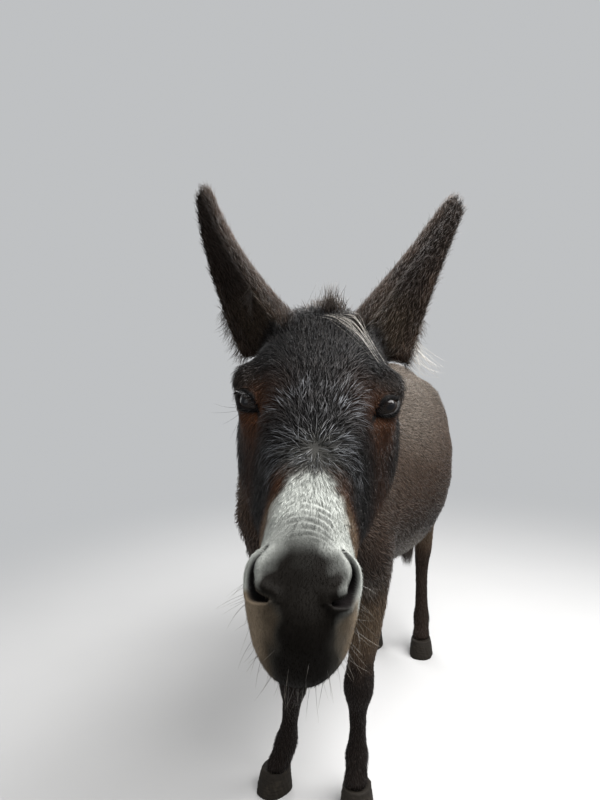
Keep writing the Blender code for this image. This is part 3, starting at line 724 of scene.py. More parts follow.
def markings(points, normals, region):
    """Masks of the colours that lie over the body's brown, each from 0 to 1."""
    head, lids, ragged = region["head"], lid_skin(points), 0.0035 * waves(points, 0.030, 11)
    pale, tan, smoke = muzzle_marks(points, head, ragged)
    belly, forearm, painted_top_light, stripe, cross, flank = body_marks(points, normals, region, ragged)
    inside_ear, ear_feet = ear_marks(points, normals, region)
    # the pale belly, and the painted highlight over the back and neck, less on the stripe and cross
    pale = np.clip(pale + 0.36 * belly + 0.22 * painted_top_light * (1 - 0.8 * stripe) * (1 - 0.6 * cross), 0, 1)
    copper = copper_marks(points, head) * ((1 - pale) * (1 - lids))

    hind = region["leg_hind_left"] + region["leg_hind_right"]
    lower = region["legs"] * ramp(points[:, 2] + 2 * ragged, 0.43, 0.33)
    # the dark coat, with painted shade on the lower flanks
    black = np.clip(head * (1 - 0.25 * eye_nearness(points)) + region["ears"] * 0.72
                    + 0.7 * stripe + 0.5 * cross + (0.86 - 0.22 * hind) * lower + 0.86 * flank, 0, 1)
    black = np.maximum(np.clip(black - inside_ear - 0.8 * pale, 0, 1), lids)

    left, face, _ = HEAD.places(points).T
    beside = bump(np.abs(left) - half_bridge(face) - 0.006, 0.009)
    flare = head * beside * ramp(face, 0.315, 0.338) * ramp(face, 0.395, 0.372)
    # tan includes a little of the painted highlight over the back
    tan = np.clip(0.92 * ramp(tan, 0, 0.45) + 0.16 * painted_top_light + 0.65 * flare + forearm + 0.22 * ear_feet, 0, 1)
    return {"black": black, "copper": copper, "pale": pale, "tan": tan, "smoke": smoke,
            "silver": painted_sheen_marks(points, head)}


# ---------------------------------------------------------------- the finished skin, for what grows on it
class Surface:
    """The skin as arrays: its triangles, normals, regions, the lie of its hair and its markings."""

    def __init__(self, obj):
        self.points, self.normals, self.triangles = points_of(obj), normals_of(obj), triangles_of(obj)
        self.region = soft_regions(obj, 6)
        wander, locks = (np.stack([waves(self.points, wavelength, seed) for seed in seeds], axis=1)
                         for wavelength, seeds in ((0.055, (21, 22, 23)), (0.020, (24, 25, 26))))
        self.lie = lie_of_coat(self.points, self.normals, self.region)
        self.masks = markings(self.points, self.normals, self.region)
        shaggy, silver = self.region["body"][:, None], self.masks["silver"][:, None]
        stir = wander * (0.05 + 0.16 * shaggy) + locks * 0.17 * silver
        self.lie = flattened(self.lie + stir, self.normals)
        self.bare = bare_places(self.points)
        corners = self.points[self.triangles]
        one, two = corners[:, 1] - corners[:, 0], corners[:, 2] - corners[:, 0]
        self.areas = np.linalg.norm(np.cross(one, two), axis=1) / 2
        self.middles = corners.mean(axis=1)
        self.node = np.array(FLESH)[NEAREST.of(self.middles)]

    def at(self, values, triangle, share):
        """Values of the vertices, read inside triangles at barycentric shares."""
        corners = values[self.triangles[triangle]]
        return np.einsum("ij,ij...->i...", share, corners)


CANDIDATES = 1.9                    # tried roots for each one that the spacing has room for
CELL = 1.12                         # of the spacing; one root is kept in each
MOST_BARE = 0.3


def scatter(surface, chosen, spacing, seed):
    """Roots of tufts over the chosen triangles, about spacing apart, as triangle numbers and shares."""
    draw = np.random.default_rng(seed)
    numbers = np.nonzero(chosen)[0]
    gaps = spacing[surface.triangles[numbers]].mean(axis=1)
    expected = surface.areas[numbers] / gaps ** 2
    count = int(expected.sum() * CANDIDATES)
    triangle = draw.choice(numbers, count, p=expected / expected.sum())
    one, two = np.sqrt(draw.random(count)), draw.random(count)
    share = np.stack([1 - one, one * (1 - two), one * two], axis=1)
    points = surface.at(surface.points, triangle, share)
    gap = surface.at(spacing, triangle, share)
    level = np.round(np.log2(gap / gap.min()) * 3)
    cell = gap.min() * 2 ** (level / 3) * CELL
    keys = np.column_stack([level, np.floor(points / cell[:, None])]).astype(np.int64)
    _, first = np.unique(keys, axis=0, return_index=True)
    first.sort()
    clear = surface.at(surface.bare, triangle[first], share[first]) < MOST_BARE
    return triangle[first][clear], share[first][clear]


# ---------------------------------------------------------------- tufts of the coat
TUFT_FACES = (
    np.array([[0, 2, 1]]),
    np.array([[0, 1, 4, 3], [1, 2, 5, 4], [2, 0, 3, 5]]),
    np.array([[3, 4, 6], [4, 5, 6], [5, 3, 6]]),
)
TUFT_POINTS = 7
TUFT_ALONG = (0, 0, 0, 0.5, 0.5, 0.5, 1.0)     # how far along the tuft each of its points is
PATCH = 0.003                       # size of one tuft's patch on the coat's map
TUFT_PATCH = np.array([(-1, -1), (1, -1), (0, -1), (-1, 0.2), (1, 0.2), (0, 0.2), (0, 1)]) * PATCH / 2


def unwrap_of(surface, chosen):
    """The map coordinates of the chosen triangles' corners, from an unwrap of the skin's own shape."""
    numbers = np.nonzero(chosen)[0]
    used, index = np.unique(surface.triangles[numbers], return_inverse=True)
    flat = add_mesh("unwrapped", surface.points[used], [index.reshape(-1, 3)])
    edit_all(flat, bpy.ops.uv.smart_project, angle_limit=math.radians(70), island_margin=0.004)
    corners = np.zeros((len(surface.triangles), 3, 2))
    corners[numbers] = read_rows(flat.data.uv_layers.active.data, "uv", 2).reshape(-1, 3, 2)
    bpy.data.objects.remove(flat)
    return corners


def grow_coat(name, surface, chosen, hair, seed):
    """One coat piece: bent, three-sided tufts that taper to a point and lie along the skin.

    hair holds the spacing, length, width, lift and untidiness at each vertex of the skin.
    """
    draw = np.random.default_rng(seed)
    triangle, share = scatter(surface, chosen, hair["spacing"], seed)
    count = len(triangle)
    root = surface.at(surface.points, triangle, share)
    normal = unit(surface.at(surface.normals, triangle, share))
    lie = flattened(surface.at(surface.lie, triangle, share), normal)
    length, width, lift, stray = (surface.at(hair[key], triangle, share)
                                  for key in ("length", "width", "lift", "stray"))
    length *= draw.uniform(0.72, 1.22, count)
    width *= draw.uniform(0.75, 1.3, count)
    turn = draw.normal(0, 1, count) * stray
    side = np.cross(normal, lie)
    lie = lie * np.cos(turn)[:, None] + side * np.sin(turn)[:, None]
    side = np.cross(normal, lie)
    rise = lift * draw.uniform(0.6, 1.4, count)
    curl = draw.normal(0, 1, count) * stray * 0.8

    def step(angle, sway):
        return unit(lie * np.cos(angle)[:, None] + normal * np.sin(angle)[:, None] + side * sway[:, None])

    base = root - normal * (width * 0.5)[:, None]
    middle = base + step(rise * 1.35, np.zeros(count)) * (length * 0.45)[:, None]
    tip = middle + step(rise * 0.45, curl) * (length * 0.55)[:, None]
    points = np.empty((count, TUFT_POINTS, 3))
    for ring, (centre, size) in enumerate(((base, 1.0), (middle, 0.82))):
        half = (width * size / 2)[:, None]
        points[:, ring * 3] = centre - side * half
        points[:, ring * 3 + 1] = centre + side * half
        points[:, ring * 3 + 2] = centre + normal * half * 0.9
    points[:, 6] = tip

    faces = repeated(TUFT_FACES, count, TUFT_POINTS)
    made = add_mesh(name, points.reshape(-1, 3), faces)
    set_attribute(made, "along", np.tile(TUFT_ALONG, count))
    set_attribute(made, "tone", np.repeat(draw.random(count), TUFT_POINTS))
    for mask in MASKS:
        set_attribute(made, mask, np.repeat(surface.at(surface.masks[mask], triangle, share), TUFT_POINTS))

    corners = unwrap_of(surface, chosen)[triangle]
    place = np.einsum("ij,ijk->ik", share, corners)
    spots = (np.clip(place, PATCH, 1 - PATCH)[:, None] + TUFT_PATCH[None]).reshape(-1, 2)
    corner_points = np.concatenate([rows.ravel() for rows in faces])
    layer = made.data.uv_layers.new(name="OFBake")
    layer.data.foreach_set("uv", spots[corner_points].astype(np.float32).ravel())
    return made


# ---------------------------------------------------------------- the skin
CLOSING = 0.0025                    # the solids swell by this, so that the gaps between them close
VOXEL = 0.0045                      # of the remesh that makes them one
KEPT_SHARE = 0.195                  # of the faces, after thinning
MOST_TRIANGLES = 199000
MUZZLE_START = 0.330                # along the face; the skin is finer from here to the nose
EYE_DETAIL, EYE_FINE = 0.046, 0.037     # how far round the eyes the skin is finer, and finest


def keep_largest(obj):
    """Deletes every loose shell but the one with most faces."""
    edit_all(obj, bpy.ops.mesh.separate, type="LOOSE")
    shells = sorted(bpy.context.selected_objects, key=lambda shell: -len(shell.data.polygons))
    for shell in shells[1:]:
        bpy.data.objects.remove(shell)
    select_only(shells[0])
    return shells[0]


def on_detailed_places(points):
    """The muzzle and round the eyes."""
    return (HEAD.places(points)[:, 1] > MUZZLE_START) | (from_eyes(points) < EYE_DETAIL)


def on_fine_places(points):
    """The nose, nostrils and lips, and the lids, which carry the finest folds."""
    left, face, out = HEAD.places(points).T
    side = np.abs(left)
    nose = (face > 0.335) & (out > -0.030) & (side < 0.05) & (face < 0.425)
    nostrils = np.linalg.norm(np.column_stack([side, face, out]) - (0.046, 0.426, -0.020), axis=1) < 0.037
    lips = (face > MOUTH_CORNER - 0.01) & (np.abs(out - mouth_line(face)) < 0.010)
    return nose | nostrils | lips | (from_eyes(points) < EYE_FINE)


def sculpt_skin():
    """One skin over all the flesh, with the lids, nostrils, lips and folds pressed into it."""
    skin = copy_nodes("skin", (*FLESH, *(f"eye_{side}" for side in SIDES)))
    modify(skin, "DISPLACE", strength=CLOSING, mid_level=0)
    modify(skin, "REMESH", mode="VOXEL", voxel_size=VOXEL)
    skin = keep_largest(skin)
    skin.name = skin.data.name = "skin"

    region = soft_regions(skin, 8)
    body, legs, ears = region["body"], region["legs"], region["ears"]
    thigh = ramp(points_of(skin)[:, 2], 0.40, 0.56)
    smooth_where(skin, "body", body + legs * thigh, 130)
    smooth_where(skin, "head", region["head"], 22)
    smooth_where(skin, "limbs", legs * (1 - thigh) + 0.6 * region["tail"], 14)
    smooth_where(skin, "all", 1 - 0.6 * ears, 4)
    points = points_of(skin)
    depth = CLOSING + coat_depth(points, region)
    set_points(skin, points - normals_of(skin) * depth[:, None])
    smooth_where(skin, "body_again", body + legs, 10)

    coarse = np.clip(body + 0.7 * legs + 0.25 * ears + 0.12, 0.1, 1)
    modify(skin, "DECIMATE", ratio=KEPT_SHARE, vertex_group=weigh(skin, "coarse", coarse))
    refine(skin, "detailed", on_detailed_places, 5)
    refine(skin, "fine", on_fine_places, 4)
    skin.vertex_groups.clear()

    points = points_of(skin)
    for eye in EYES.values():
        points = press_eye(points, eye)
    set_points(skin, points)
    for nostril in NOSTRILS.values():
        set_points(skin, press_nostril(points_of(skin), normals_of(skin), nostril))
    set_points(skin, press_mouth(points_of(skin), normals_of(skin)))
    set_points(skin, press_folds(press_brows(points_of(skin)), normals_of(skin)))
    skin.data.shade_smooth()
    return skin


def moist_places(points):
    """1 on the naked rims of the lids and deep in the nostrils and mouth."""
    _, face, out = HEAD.places(points).T
    moist = 0.8 * ramp(np.abs(out - mouth_line(face)), 0.0026, 0.0012) * (face > MOUTH_CORNER)
    for eye in EYES.values():
        moist = np.maximum(moist, ramp(eye.opening_gap(points, 0.03), 0.0018, 0.0008))
    for nostril in NOSTRILS.values():
        moist = np.maximum(moist, ramp(nostril.gap(points)[0], 0.0012, -0.0014))
    return moist


SURFACES = {}


def skin_surface():
    """The finished skin's arrays, worked out once."""
    if "skin" not in SURFACES:
        SURFACES["skin"] = Surface(bpy.data.objects["skin"])
    return SURFACES["skin"]


# ---------------------------------------------------------------- the coat's measures over the skin
def hair_of(surface, coat):
    """Spacing, length, width, lift and untidiness of the tufts, at each vertex of the skin."""
    points, region = surface.points, surface.region
    left, face, out = HEAD.places(points).T
    upper, fetlock = ramp(points[:, 2], 0.36, 0.56), bump(points[:, 2] - 0.105, 0.035)
    nose, muzzle = ramp(face, 0.285, 0.335), ramp(face, 0.345, 0.390)
    poll, jaw = ramp(face, 0.085, 0.020), ramp(out, -0.065, -0.125) * ramp(face, 0.37, 0.28)
    brow = ramp(face, 0.310, 0.280) * ramp(np.abs(left), 0.085, 0.060)
    belly = ramp(-surface.normals[:, 2], 0.2, 0.8)
    whorl = bump(HEAD.from_point(points, WHORL), 0.022)
    clumps = np.clip(waves(points, 0.034, 31), -1, 1.5)

    on_head = 0.0160 + 0.006 * brow - 0.0075 * nose - 0.0046 * muzzle + 0.007 * poll + 0.004 * jaw
    on_head *= (1 - 0.50 * eye_nearness(points)) * (1 - 0.55 * lid_skin(points))
    length = over_parts(region, head=on_head, ears=0.0155, neck=0.023, trunk=0.025 + 0.005 * belly,
                        legs=0.0095 + 0.010 * upper + 0.006 * fetlock, tail=0.022)
    width = over_parts(region, head=0.00090 - 0.00048 * muzzle - 0.0001 * nose, ears=0.0008, body=0.0019,
                       legs=0.0012 + 0.0006 * upper, tail=0.0016)
    spacing = over_parts(region, head=0.0026 - 0.0006 * muzzle + 0.0007 * jaw, ears=0.0028, body=0.0058,
                         legs=0.0044 + 0.0011 * upper, tail=0.0048)
    lift = over_parts(region, head=0.21 + 0.13 * muzzle + 0.28 * poll + 0.07 * jaw, ears=0.26,
                      body=0.27 + 0.09 * clumps, legs=0.24, tail=0.2)
    stray = over_parts(region, head=0.14 + 0.15 * poll + 0.06 * brow + 0.45 * whorl, ears=0.32, body=0.24,
                       legs=0.14, tail=0.12)
    return {"spacing": spacing * coat.spacing, "length": length * coat.length, "width": width * coat.width,
            "lift": lift, "stray": stray}


TRUNK_START, TRUNK_END = (corner[1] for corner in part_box("trunk"))
CHEST_END, RUMP_START = (TRUNK_START + share * (TRUNK_END - TRUNK_START) for share in (0.30, 0.74))
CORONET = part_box("hoof_front_left")[1][2] - 0.004
COAT_MUZZLE_START = 0.355           # along the face


def coat_pieces(surface):
    """The coat's pieces and the triangles of the skin that each grows from."""
    is_node = {node: surface.node == node for node in FLESH}
    head, trunk = is_node["head"], is_node["trunk"]
    left, face, _ = HEAD.places(surface.middles).T
    muzzle, at_left = face > COAT_MUZZLE_START, surface.middles[:, 0] > SPINE_X
    chest, rump = surface.middles[:, 1] < CHEST_END, surface.middles[:, 1] > RUMP_START
    barrel = trunk & ~chest & ~rump
    pieces = {
        "coat_muzzle": head & muzzle,
        "coat_face_left": head & ~muzzle & (left > 0),
        "coat_face_right": head & ~muzzle & ~(left > 0),
        "coat_ears": is_node["ear_left"] | is_node["ear_right"],
        "coat_neck": is_node["neck"],
        "coat_chest": trunk & chest,
        "coat_barrel_left": barrel & at_left,
        "coat_barrel_right": barrel & ~at_left,
        "coat_rump": trunk & rump,
        "coat_tail": is_node["tail"],
    }
    for end in ("front", "hind"):
        pieces[f"coat_legs_{end}"] = is_node[f"leg_{end}_left"] | is_node[f"leg_{end}_right"]
    above_hooves = surface.middles[:, 2] > CORONET
    return {name: chosen & above_hooves for name, chosen in pieces.items()}


# ---------------------------------------------------------------- materials
class Value:
    """A socket of a material; sums written on it add Math nodes."""

    def __init__(self, paint, socket):
        self.paint, self.socket = paint, socket

    def __add__(self, other):
        return self.paint.math("ADD", self, other)

    def __sub__(self, other):
        return self.paint.math("SUBTRACT", self, other)

    def __rsub__(self, other):
        return self.paint.math("SUBTRACT", other, self)

    def __mul__(self, other):
        return self.paint.math("MULTIPLY", self, other)

    __radd__, __rmul__ = __add__, __mul__


class Paint:
    """A material being made."""

    def __init__(self, name):
        self.material = bpy.data.materials.new(name)
        self.material.use_nodes = True
        self.material.node_tree.nodes.clear()

    def node(self, kind, settings=(), output=0, **inputs):
        """Adds a node. Inputs are given by name, with _ for a space, or by number, as n0, n1."""
        made = self.material.node_tree.nodes.new(kind)
        for key, value in dict(settings).items():
            setattr(made, key, value)
        for key, value in inputs.items():
            socket = made.inputs[int(key[1:]) if key[1:].isdigit() else key.replace("_", " ")]
            if isinstance(value, Value):
                self.material.node_tree.links.new(value.socket, socket)
            else:
                socket.default_value = value
        return Value(self, made.outputs[output]) if made.outputs else made

    def math(self, operation, one, two):
        return self.node("ShaderNodeMath", {"operation": operation}, n0=one, n1=two)

    def attribute(self, name):
        return self.node("ShaderNodeAttribute", {"attribute_name": name}, output="Fac")

    def ramp(self, value, low, high):
        return self.node("ShaderNodeMapRange", {"interpolation_type": "SMOOTHSTEP"},
                         Value=value, From_Min=low, From_Max=high)

    def mix(self, share, one, two):
        return self.node("ShaderNodeMix", {"data_type": "RGBA"}, output=2, n0=share, n6=one, n7=two)

    def scaled(self, colour, factor):
        return self.node("ShaderNodeVectorMath", {"operation": "SCALE"}, n0=colour, Scale=factor)

    def noise(self, scale, detail=3.0, stretch=(1, 1, 1)):
        place = self.node("ShaderNodeTexCoord", output="Object")
        placed = self.node("ShaderNodeMapping", Vector=place, Scale=stretch)
        return self.node("ShaderNodeTexNoise", Vector=placed, Scale=scale, Detail=detail)

    def bump(self, height, distance, strength=1.0):
        return self.node("ShaderNodeBump", Height=height, Distance=distance, Strength=strength)

    def finish(self, **inputs):
        shader = self.node("ShaderNodeBsdfPrincipled", **inputs)
        self.node("ShaderNodeOutputMaterial", Surface=shader)
        return self.material


PUPIL_BLACK = (0.002, 0.002, 0.003)


def rgba(colour):
    return (*colour, 1.0)


def marked_colour(paint, colours):
    """The body's brown with the markings over it, from the mesh's masks."""
    colour = rgba(colours.brown)
    for mask in ("black", "copper", "pale", "tan", "smoke"):
        colour = paint.mix(paint.attribute(mask), colour, rgba(getattr(colours, mask)))
    return colour


def fur_material(colours, name="fur", roughness=0.36, shine=0.18):
    """Tufts: darker at the root, lighter and a little grizzled at the tip, each of its own tone."""
    paint = Paint(name)
    along, tone, pale = paint.attribute("along"), paint.attribute("tone"), paint.attribute("pale")
    silver, copper = paint.attribute("silver"), paint.attribute("copper")
    shade = 0.42 + 0.60 * along + (tone - 0.5) * 0.60
    colour = paint.scaled(marked_colour(paint, colours), shade + 0.25 * pale)
    # grizzled tips; on the forehead they are brighter and silver where the painted sheen lies, a painted
    # highlight
    grizzle = along * paint.ramp(tone + 0.14 * silver, 0.66, 0.98) * (1 - pale)
    grizzle = grizzle * (1 - 0.7 * copper) * (0.22 + 0.70 * silver)
    colour = paint.mix(grizzle, colour, paint.mix(silver, rgba(colours.grizzle), rgba(colours.silver)))
    return paint.finish(Base_Color=colour, Roughness=roughness, Specular_IOR_Level=shine)


def skin_material(colours):
    """The skin seen between the tufts, with the short nap of the muzzle, dark where it is naked."""
    paint = Paint("skin")
    moist, pale = paint.attribute("moist"), paint.attribute("pale")
    nap, mottle = paint.noise(900, 2), paint.noise(60, 4)
    shade = 0.34 + 0.46 * pale + 0.30 * (mottle - 0.5) + 0.4 * (nap - 0.5)
    colour = paint.scaled(marked_colour(paint, colours), shade)
    colour = paint.mix(moist, colour, rgba(colours.naked))
    return paint.finish(
        Base_Color=colour, Roughness=0.72 - 0.38 * moist,
        Normal=paint.bump(nap, 0.0006, 0.6), Specular_IOR_Level=0.06)


def lock_material(name, root, tip, roughness=0.45):
    """Long hair, from its colour at the root to its colour at the tip."""
    paint = Paint(name)
    along, tone = paint.attribute("along"), paint.attribute("tone")
    colour = paint.scaled(paint.mix(along, rgba(root), rgba(tip)), 0.65 + 0.7 * tone)
    return paint.finish(Base_Color=colour, Roughness=roughness, Specular_IOR_Level=0.6)


def eye_material(colours):
    """A dark fibrous iris round a black pupil, under a wet clear coat."""
    paint = Paint("eye")
    iris, pupil = paint.attribute("iris"), paint.attribute("pupil")
    fibres = paint.noise(500, 3)
    colour = paint.mix(iris, rgba(colours.white_of_eye), rgba(colours.iris))
    colour = paint.scaled(colour, 0.7 + 0.6 * fibres)
    colour = paint.mix(pupil, colour, rgba(PUPIL_BLACK))
    return paint.finish(Base_Color=colour, Roughness=0.25, Specular_IOR_Level=0.0,
                        Coat_Weight=0.75, Coat_Roughness=0.02, Coat_IOR=1.36)


def hoof_material(colours):
    """Horn streaked down the wall and ringed across it, with a little dust."""
    paint = Paint("hoof")
    streaks = paint.noise(110, 4, (1, 1, 0.08))
    rings = paint.noise(30, 3, (0.3, 0.3, 6))
    dust = paint.noise(45, 5)
    colour = paint.mix(streaks, rgba(colours.horn), rgba(colours.horn_light))
    colour = paint.scaled(colour, 0.65 + 0.7 * rings)
    colour = paint.mix(paint.ramp(dust, 0.50, 0.80) * 0.08, colour, rgba(colours.dust))
    return paint.finish(Base_Color=colour, Specular_IOR_Level=0.15, Roughness=0.62 + 0.25 * dust,
                        Normal=paint.bump(streaks + rings, 0.0008, 0.5))


# ---------------------------------------------------------------- long hair
def add_locks(name, lines, widths, seed, flat=0.6):
    """Three-sided locks along centre lines of shape (locks, points, 3), tapering to a point at the last."""
    draw = np.random.default_rng(seed)
    count, steps = lines.shape[:2]
    rings = steps - 1
    heading = unit(np.gradient(lines, axis=1))
    side = unit(np.cross(heading, unit(draw.normal(size=(count, 1, 3)))))
    other = np.cross(heading, side)
    taper = np.linspace(1, 0, steps)[:-1] ** 0.55
    half = (widths[:, None] * taper / 2)[..., None]
    corners = [lines[:, :-1] + half * (math.cos(turn) * side[:, :-1] + flat * math.sin(turn) * other[:, :-1])
               for turn in (0, math.tau / 3, 2 * math.tau / 3)]
    rims = np.stack(corners, axis=2).reshape(count, rings * 3, 3)
    points = np.concatenate([rims, lines[:, -1:]], axis=1)
    each = rings * 3 + 1
    ring = np.arange(rings - 1)[:, None, None] * 3
    walls = np.array([[0, 1, 4, 3], [1, 2, 5, 4], [2, 0, 3, 5]])[None] + ring
    last, tip = each - 4, each - 1
    rows = (np.array([[0, 2, 1]]), walls.reshape(-1, 4),
            np.array([[last, last + 1, tip], [last + 1, last + 2, tip], [last + 2, last, tip]]))
    made = add_mesh(name, points.reshape(-1, 3), repeated(rows, count, each))
    along = np.append(np.repeat(np.linspace(0, 1, steps)[:-1], 3), 1.0)
    set_attribute(made, "along", np.tile(along, count))
    set_attribute(made, "tone", np.repeat(draw.random(count), each))
    return made


def curved_lines(starts, headings, lengths, steps, pull, draw, sway=0.15):
    """Centre lines that leave along their headings and bend by a pull, a vector, and a little at random."""
    count = len(starts)
    lines = np.empty((count, steps, 3))
    lines[:, 0] = starts
    heading = unit(headings)
    drift = draw.normal(0, sway, (count, 3))
    for step in range(1, steps):
        heading = unit(heading + (np.asarray(pull) + drift) / steps)
        lines[:, step] = lines[:, step - 1] + heading * (lengths / (steps - 1))[:, None]
    return lines


DROP = 0.25                         # how far off the skin a point is when it is dropped on it


def dropped_on_skin(points, direction):
    """The points moved along a direction onto the skin; those that miss it stay."""
    skin = bpy.data.objects["skin"]
    tree = BVHTree.FromPolygons(points_of(skin).tolist(), triangles_of(skin).tolist())
    landed = np.array(points, float)
    for row, point in enumerate(landed):
        hit = tree.ray_cast(Vector(point - direction * DROP), Vector(direction))[0]
        if hit is not None:
            landed[row] = hit
    return landed


MANE_LOCKS, FORELOCK_STRANDS, POLL_TUFT_HAIRS, TAIL_LOCKS, WHISKERS = 2600, 22, 170, 720, 100
FORELOCK_STARTS, FORELOCK_END = ((-0.010, 0.018, 0.02), (0.026, -0.004, 0.02)), (0.088, 0.133, 0.02)
POLL_TUFT, POLL_TUFT_HEIGHT = (0.011, 0.004, 0.02), 0.015
EAR_HAIR = (                        # on which ear, how far up it, its colour, how many hairs, their length
    ("ear_left", 0.030, "pale_hair", 42, 0.062),
    ("ear_left", 0.25, "ear_edge", 1300, 0.017),
    ("ear_left", 0.060, "ear_edge", 320, 0.022),
    ("ear_right", 0.070, "ear_edge", 420, 0.027),
    ("ear_right", 0.25, "ear_edge", 1300, 0.017),
)
LASHES = {"upper": (46, 0.017, -0.35), "lower": (18, 0.009, -0.5)}     # how many, the longest, how they lean
EYE_FEELERS = 12                    # over and under each eye
FEELER = 0.00045                    # width of a lash or whisker at its root


def grow_mane(colours):
    """The short upright mane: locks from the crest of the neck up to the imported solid's top."""
    draw = np.random.default_rng(41)
    solid = points_of(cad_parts["mane"])
    start, end = solid[:, 1].min(), solid[:, 1].max()
    stations = draw.uniform(start + 0.012, end - 0.006, MANE_LOCKS)
    grid = np.linspace(start, end, 24)
    near = [solid[np.abs(solid[:, 1] - y) < 0.035] for y in grid]
    middle = np.interp(stations, grid, [slab[:, 0].mean() for slab in near])
    top = np.interp(stations, grid, [slab[:, 2].max() for slab in near])
    across = draw.normal(0, 0.0085, MANE_LOCKS)
    starts = dropped_on_skin(np.column_stack([middle + across, stations, top]), DOWN)
    height = top - starts[:, 2]
    lengths = np.clip(height * draw.uniform(0.70, 1.02, MANE_LOCKS) + 0.004, 0.012, None)
    sideways = across * 14 + draw.normal(0, 0.10, MANE_LOCKS)
    lean = np.column_stack([sideways, 0.12 + draw.normal(0, 0.16, MANE_LOCKS), np.ones(MANE_LOCKS)])
    starts[:, 2] -= 0.004
    lines = curved_lines(starts, lean, lengths, 5, (0, 0.10, -0.05), draw, 0.22)
    locks = add_locks("mane_locks", lines, draw.uniform(0.0014, 0.0026, MANE_LOCKS), 42)
    finish_piece(locks, "hair", lock_material("mane_hair", colours.black, colours.mane_tip), "mane")


def grow_forelock(colours):
    """Long pale strands from the poll over the left of the brow, and the pointed tuft where they start."""
    draw = np.random.default_rng(43)
    count, steps, normal = FORELOCK_STRANDS, 10, HEAD.axes[2]
    share = np.linspace(0, 1, steps)[None, :, None]
    starts = np.linspace(*FORELOCK_STARTS, count)[:, None] + draw.normal(0, 0.0022, (count, 1, 3))
    ends = np.array(FORELOCK_END) + draw.normal(0, 1, (count, 1, 3)) * (0.0035, 0.004, 0)
    t = share * draw.uniform(0.45, 1.0, (count, 1, 1)) ** 0.7
    bow = draw.normal(0, 0.005, (count, 1, 3)) * t * (1 - t) * 4
    lines = HEAD.points(((1 - t) * starts + t * ends + bow).reshape(-1, 3))
    flat = dropped_on_skin(lines, -normal).reshape(count, steps, 3)
    above = (0.003 + 0.011 * np.sin(share * math.pi * 0.9)) * draw.uniform(0.6, 1.2, (count, 1, 1))
    locks = add_locks("forelock", flat + above * normal, draw.uniform(0.0003, 0.0008, count), 44)
    finish_piece(locks, "hair", lock_material("pale_hair", colours.pale_hair, colours.pale_hair, 0.4))

    count = POLL_TUFT_HAIRS
    roots = HEAD.points(np.array(POLL_TUFT) + draw.normal(0, 1, (count, 3)) * (0.0130, 0.006, 0.0))
    roots = dropped_on_skin(roots, -normal)
    upwards = HEAD.points(POLL_TUFT) - DOWN * POLL_TUFT_HEIGHT - roots
    headings = unit(upwards) + draw.normal(0, 0.12, (count, 3))
    lengths = np.linalg.norm(upwards, axis=1) * draw.uniform(0.55, 1.0, count)
    lines = curved_lines(roots, headings, lengths, 5, (0, 0, 0), draw, 0.3)
    tuft = add_locks("poll_tuft", lines, draw.uniform(0.0005, 0.0010, count), 48)
    finish_piece(tuft, "hair", lock_material("tuft_hair", colours.ear_edge, colours.grizzle))


def grow_ear_tufts(colours):
    """Long pale hair at the outer foot of the left ear, and dark hair about the feet and edges of both."""
    draw = np.random.default_rng(45)
    surface = skin_surface()
    for ear, reach, tint, count, length in EAR_HAIR:
        root, tip, opening, outward = EAR_AXES[ear]
        away = surface.points - root
        at_foot, pale = reach < 0.2, tint == "pale_hair"
        outside = (away @ outward > 0.020) & (surface.normals @ outward > 0.5)
        rim = np.abs(surface.normals @ opening) < 0.45
        within = (surface.region[ear] > 0.3) & (away @ unit(tip - root) < reach)
        picks = draw.choice(np.nonzero(within & (outside if at_foot else rim))[0], count)
        if at_foot:
            headings = surface.normals[picks] * 0.3 + outward * 0.4 - HEAD.axes[1] * 0.1 + DOWN * 1.2
        else:
            headings = surface.lie[picks] + surface.normals[picks] * 0.45
        headings = headings + draw.normal(0, 0.16, (count, 3))
        lines = curved_lines(surface.points[picks], headings, draw.uniform(0.4, 1.1, count) * length, 6,
                             outward * 0.7 if pale else (0, 0, 0), draw, 0.45)
        name = f"{ear}_{'pale' if pale else 'foot' if at_foot else 'edge'}_hair"
        locks = add_locks(name, lines, draw.uniform(0.0004, 0.0008, count), 46)
        colour = getattr(colours, tint)
        finish_piece(locks, "hair", lock_material(name, colour, colour, 0.4))


def grow_tail(colours):
    """The long hair of the tail's end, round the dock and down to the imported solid's foot."""
    draw = np.random.default_rng(47)
    low, high = (np.array(corner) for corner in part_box("tail_tuft"))
    middle, half = (low + high)[:2] / 2, (high - low)[:2] / 2
    count, steps = TAIL_LOCKS, 8
    turn = draw.uniform(0, math.tau, count)
    radius = np.sqrt(draw.uniform(0.05, 1, count))
    rim = np.column_stack([np.cos(turn), np.sin(turn)]) * radius[:, None]
    share = draw.uniform(0, 1, count)
    roots = middle + rim * half * (0.35 + 0.1 * share[:, None])
    starts = np.column_stack([roots, high[2] + 0.11 * share])
    starts[:, 1] -= 0.006 * share
    ends_z = low[2] + draw.uniform(0, 0.05, count) + 0.06 * share * draw.random(count)
    down = np.linspace(0, 1, steps)
    t = down[None, :, None]
    bulge = 0.45 + 0.75 * np.sin(np.linspace(0.15, 0.86, steps) * math.pi) - 0.35 * down ** 2
    lines = np.empty((count, steps, 3))
    lines[:, :, 2] = starts[:, None, 2] + (ends_z - starts[:, 2])[:, None] * t[..., 0]
    around = middle + rim[:, None] * half * bulge[None, :, None]
    lines[:, :, :2] = starts[:, None, :2] * (1 - t) ** 3 + around * (1 - (1 - t) ** 3)
    wave = 0.0025 * np.sin(t[..., 0] * 9 + draw.uniform(0, math.tau, count)[:, None])
    lines[:, :, 0] += wave * t[..., 0]
    locks = add_locks("tail_locks", lines, draw.uniform(0.0020, 0.0038, count), 48)
    finish_piece(locks, "hair", lock_material("tail_hair", colours.black, colours.mane_tip), "tail_tuft")


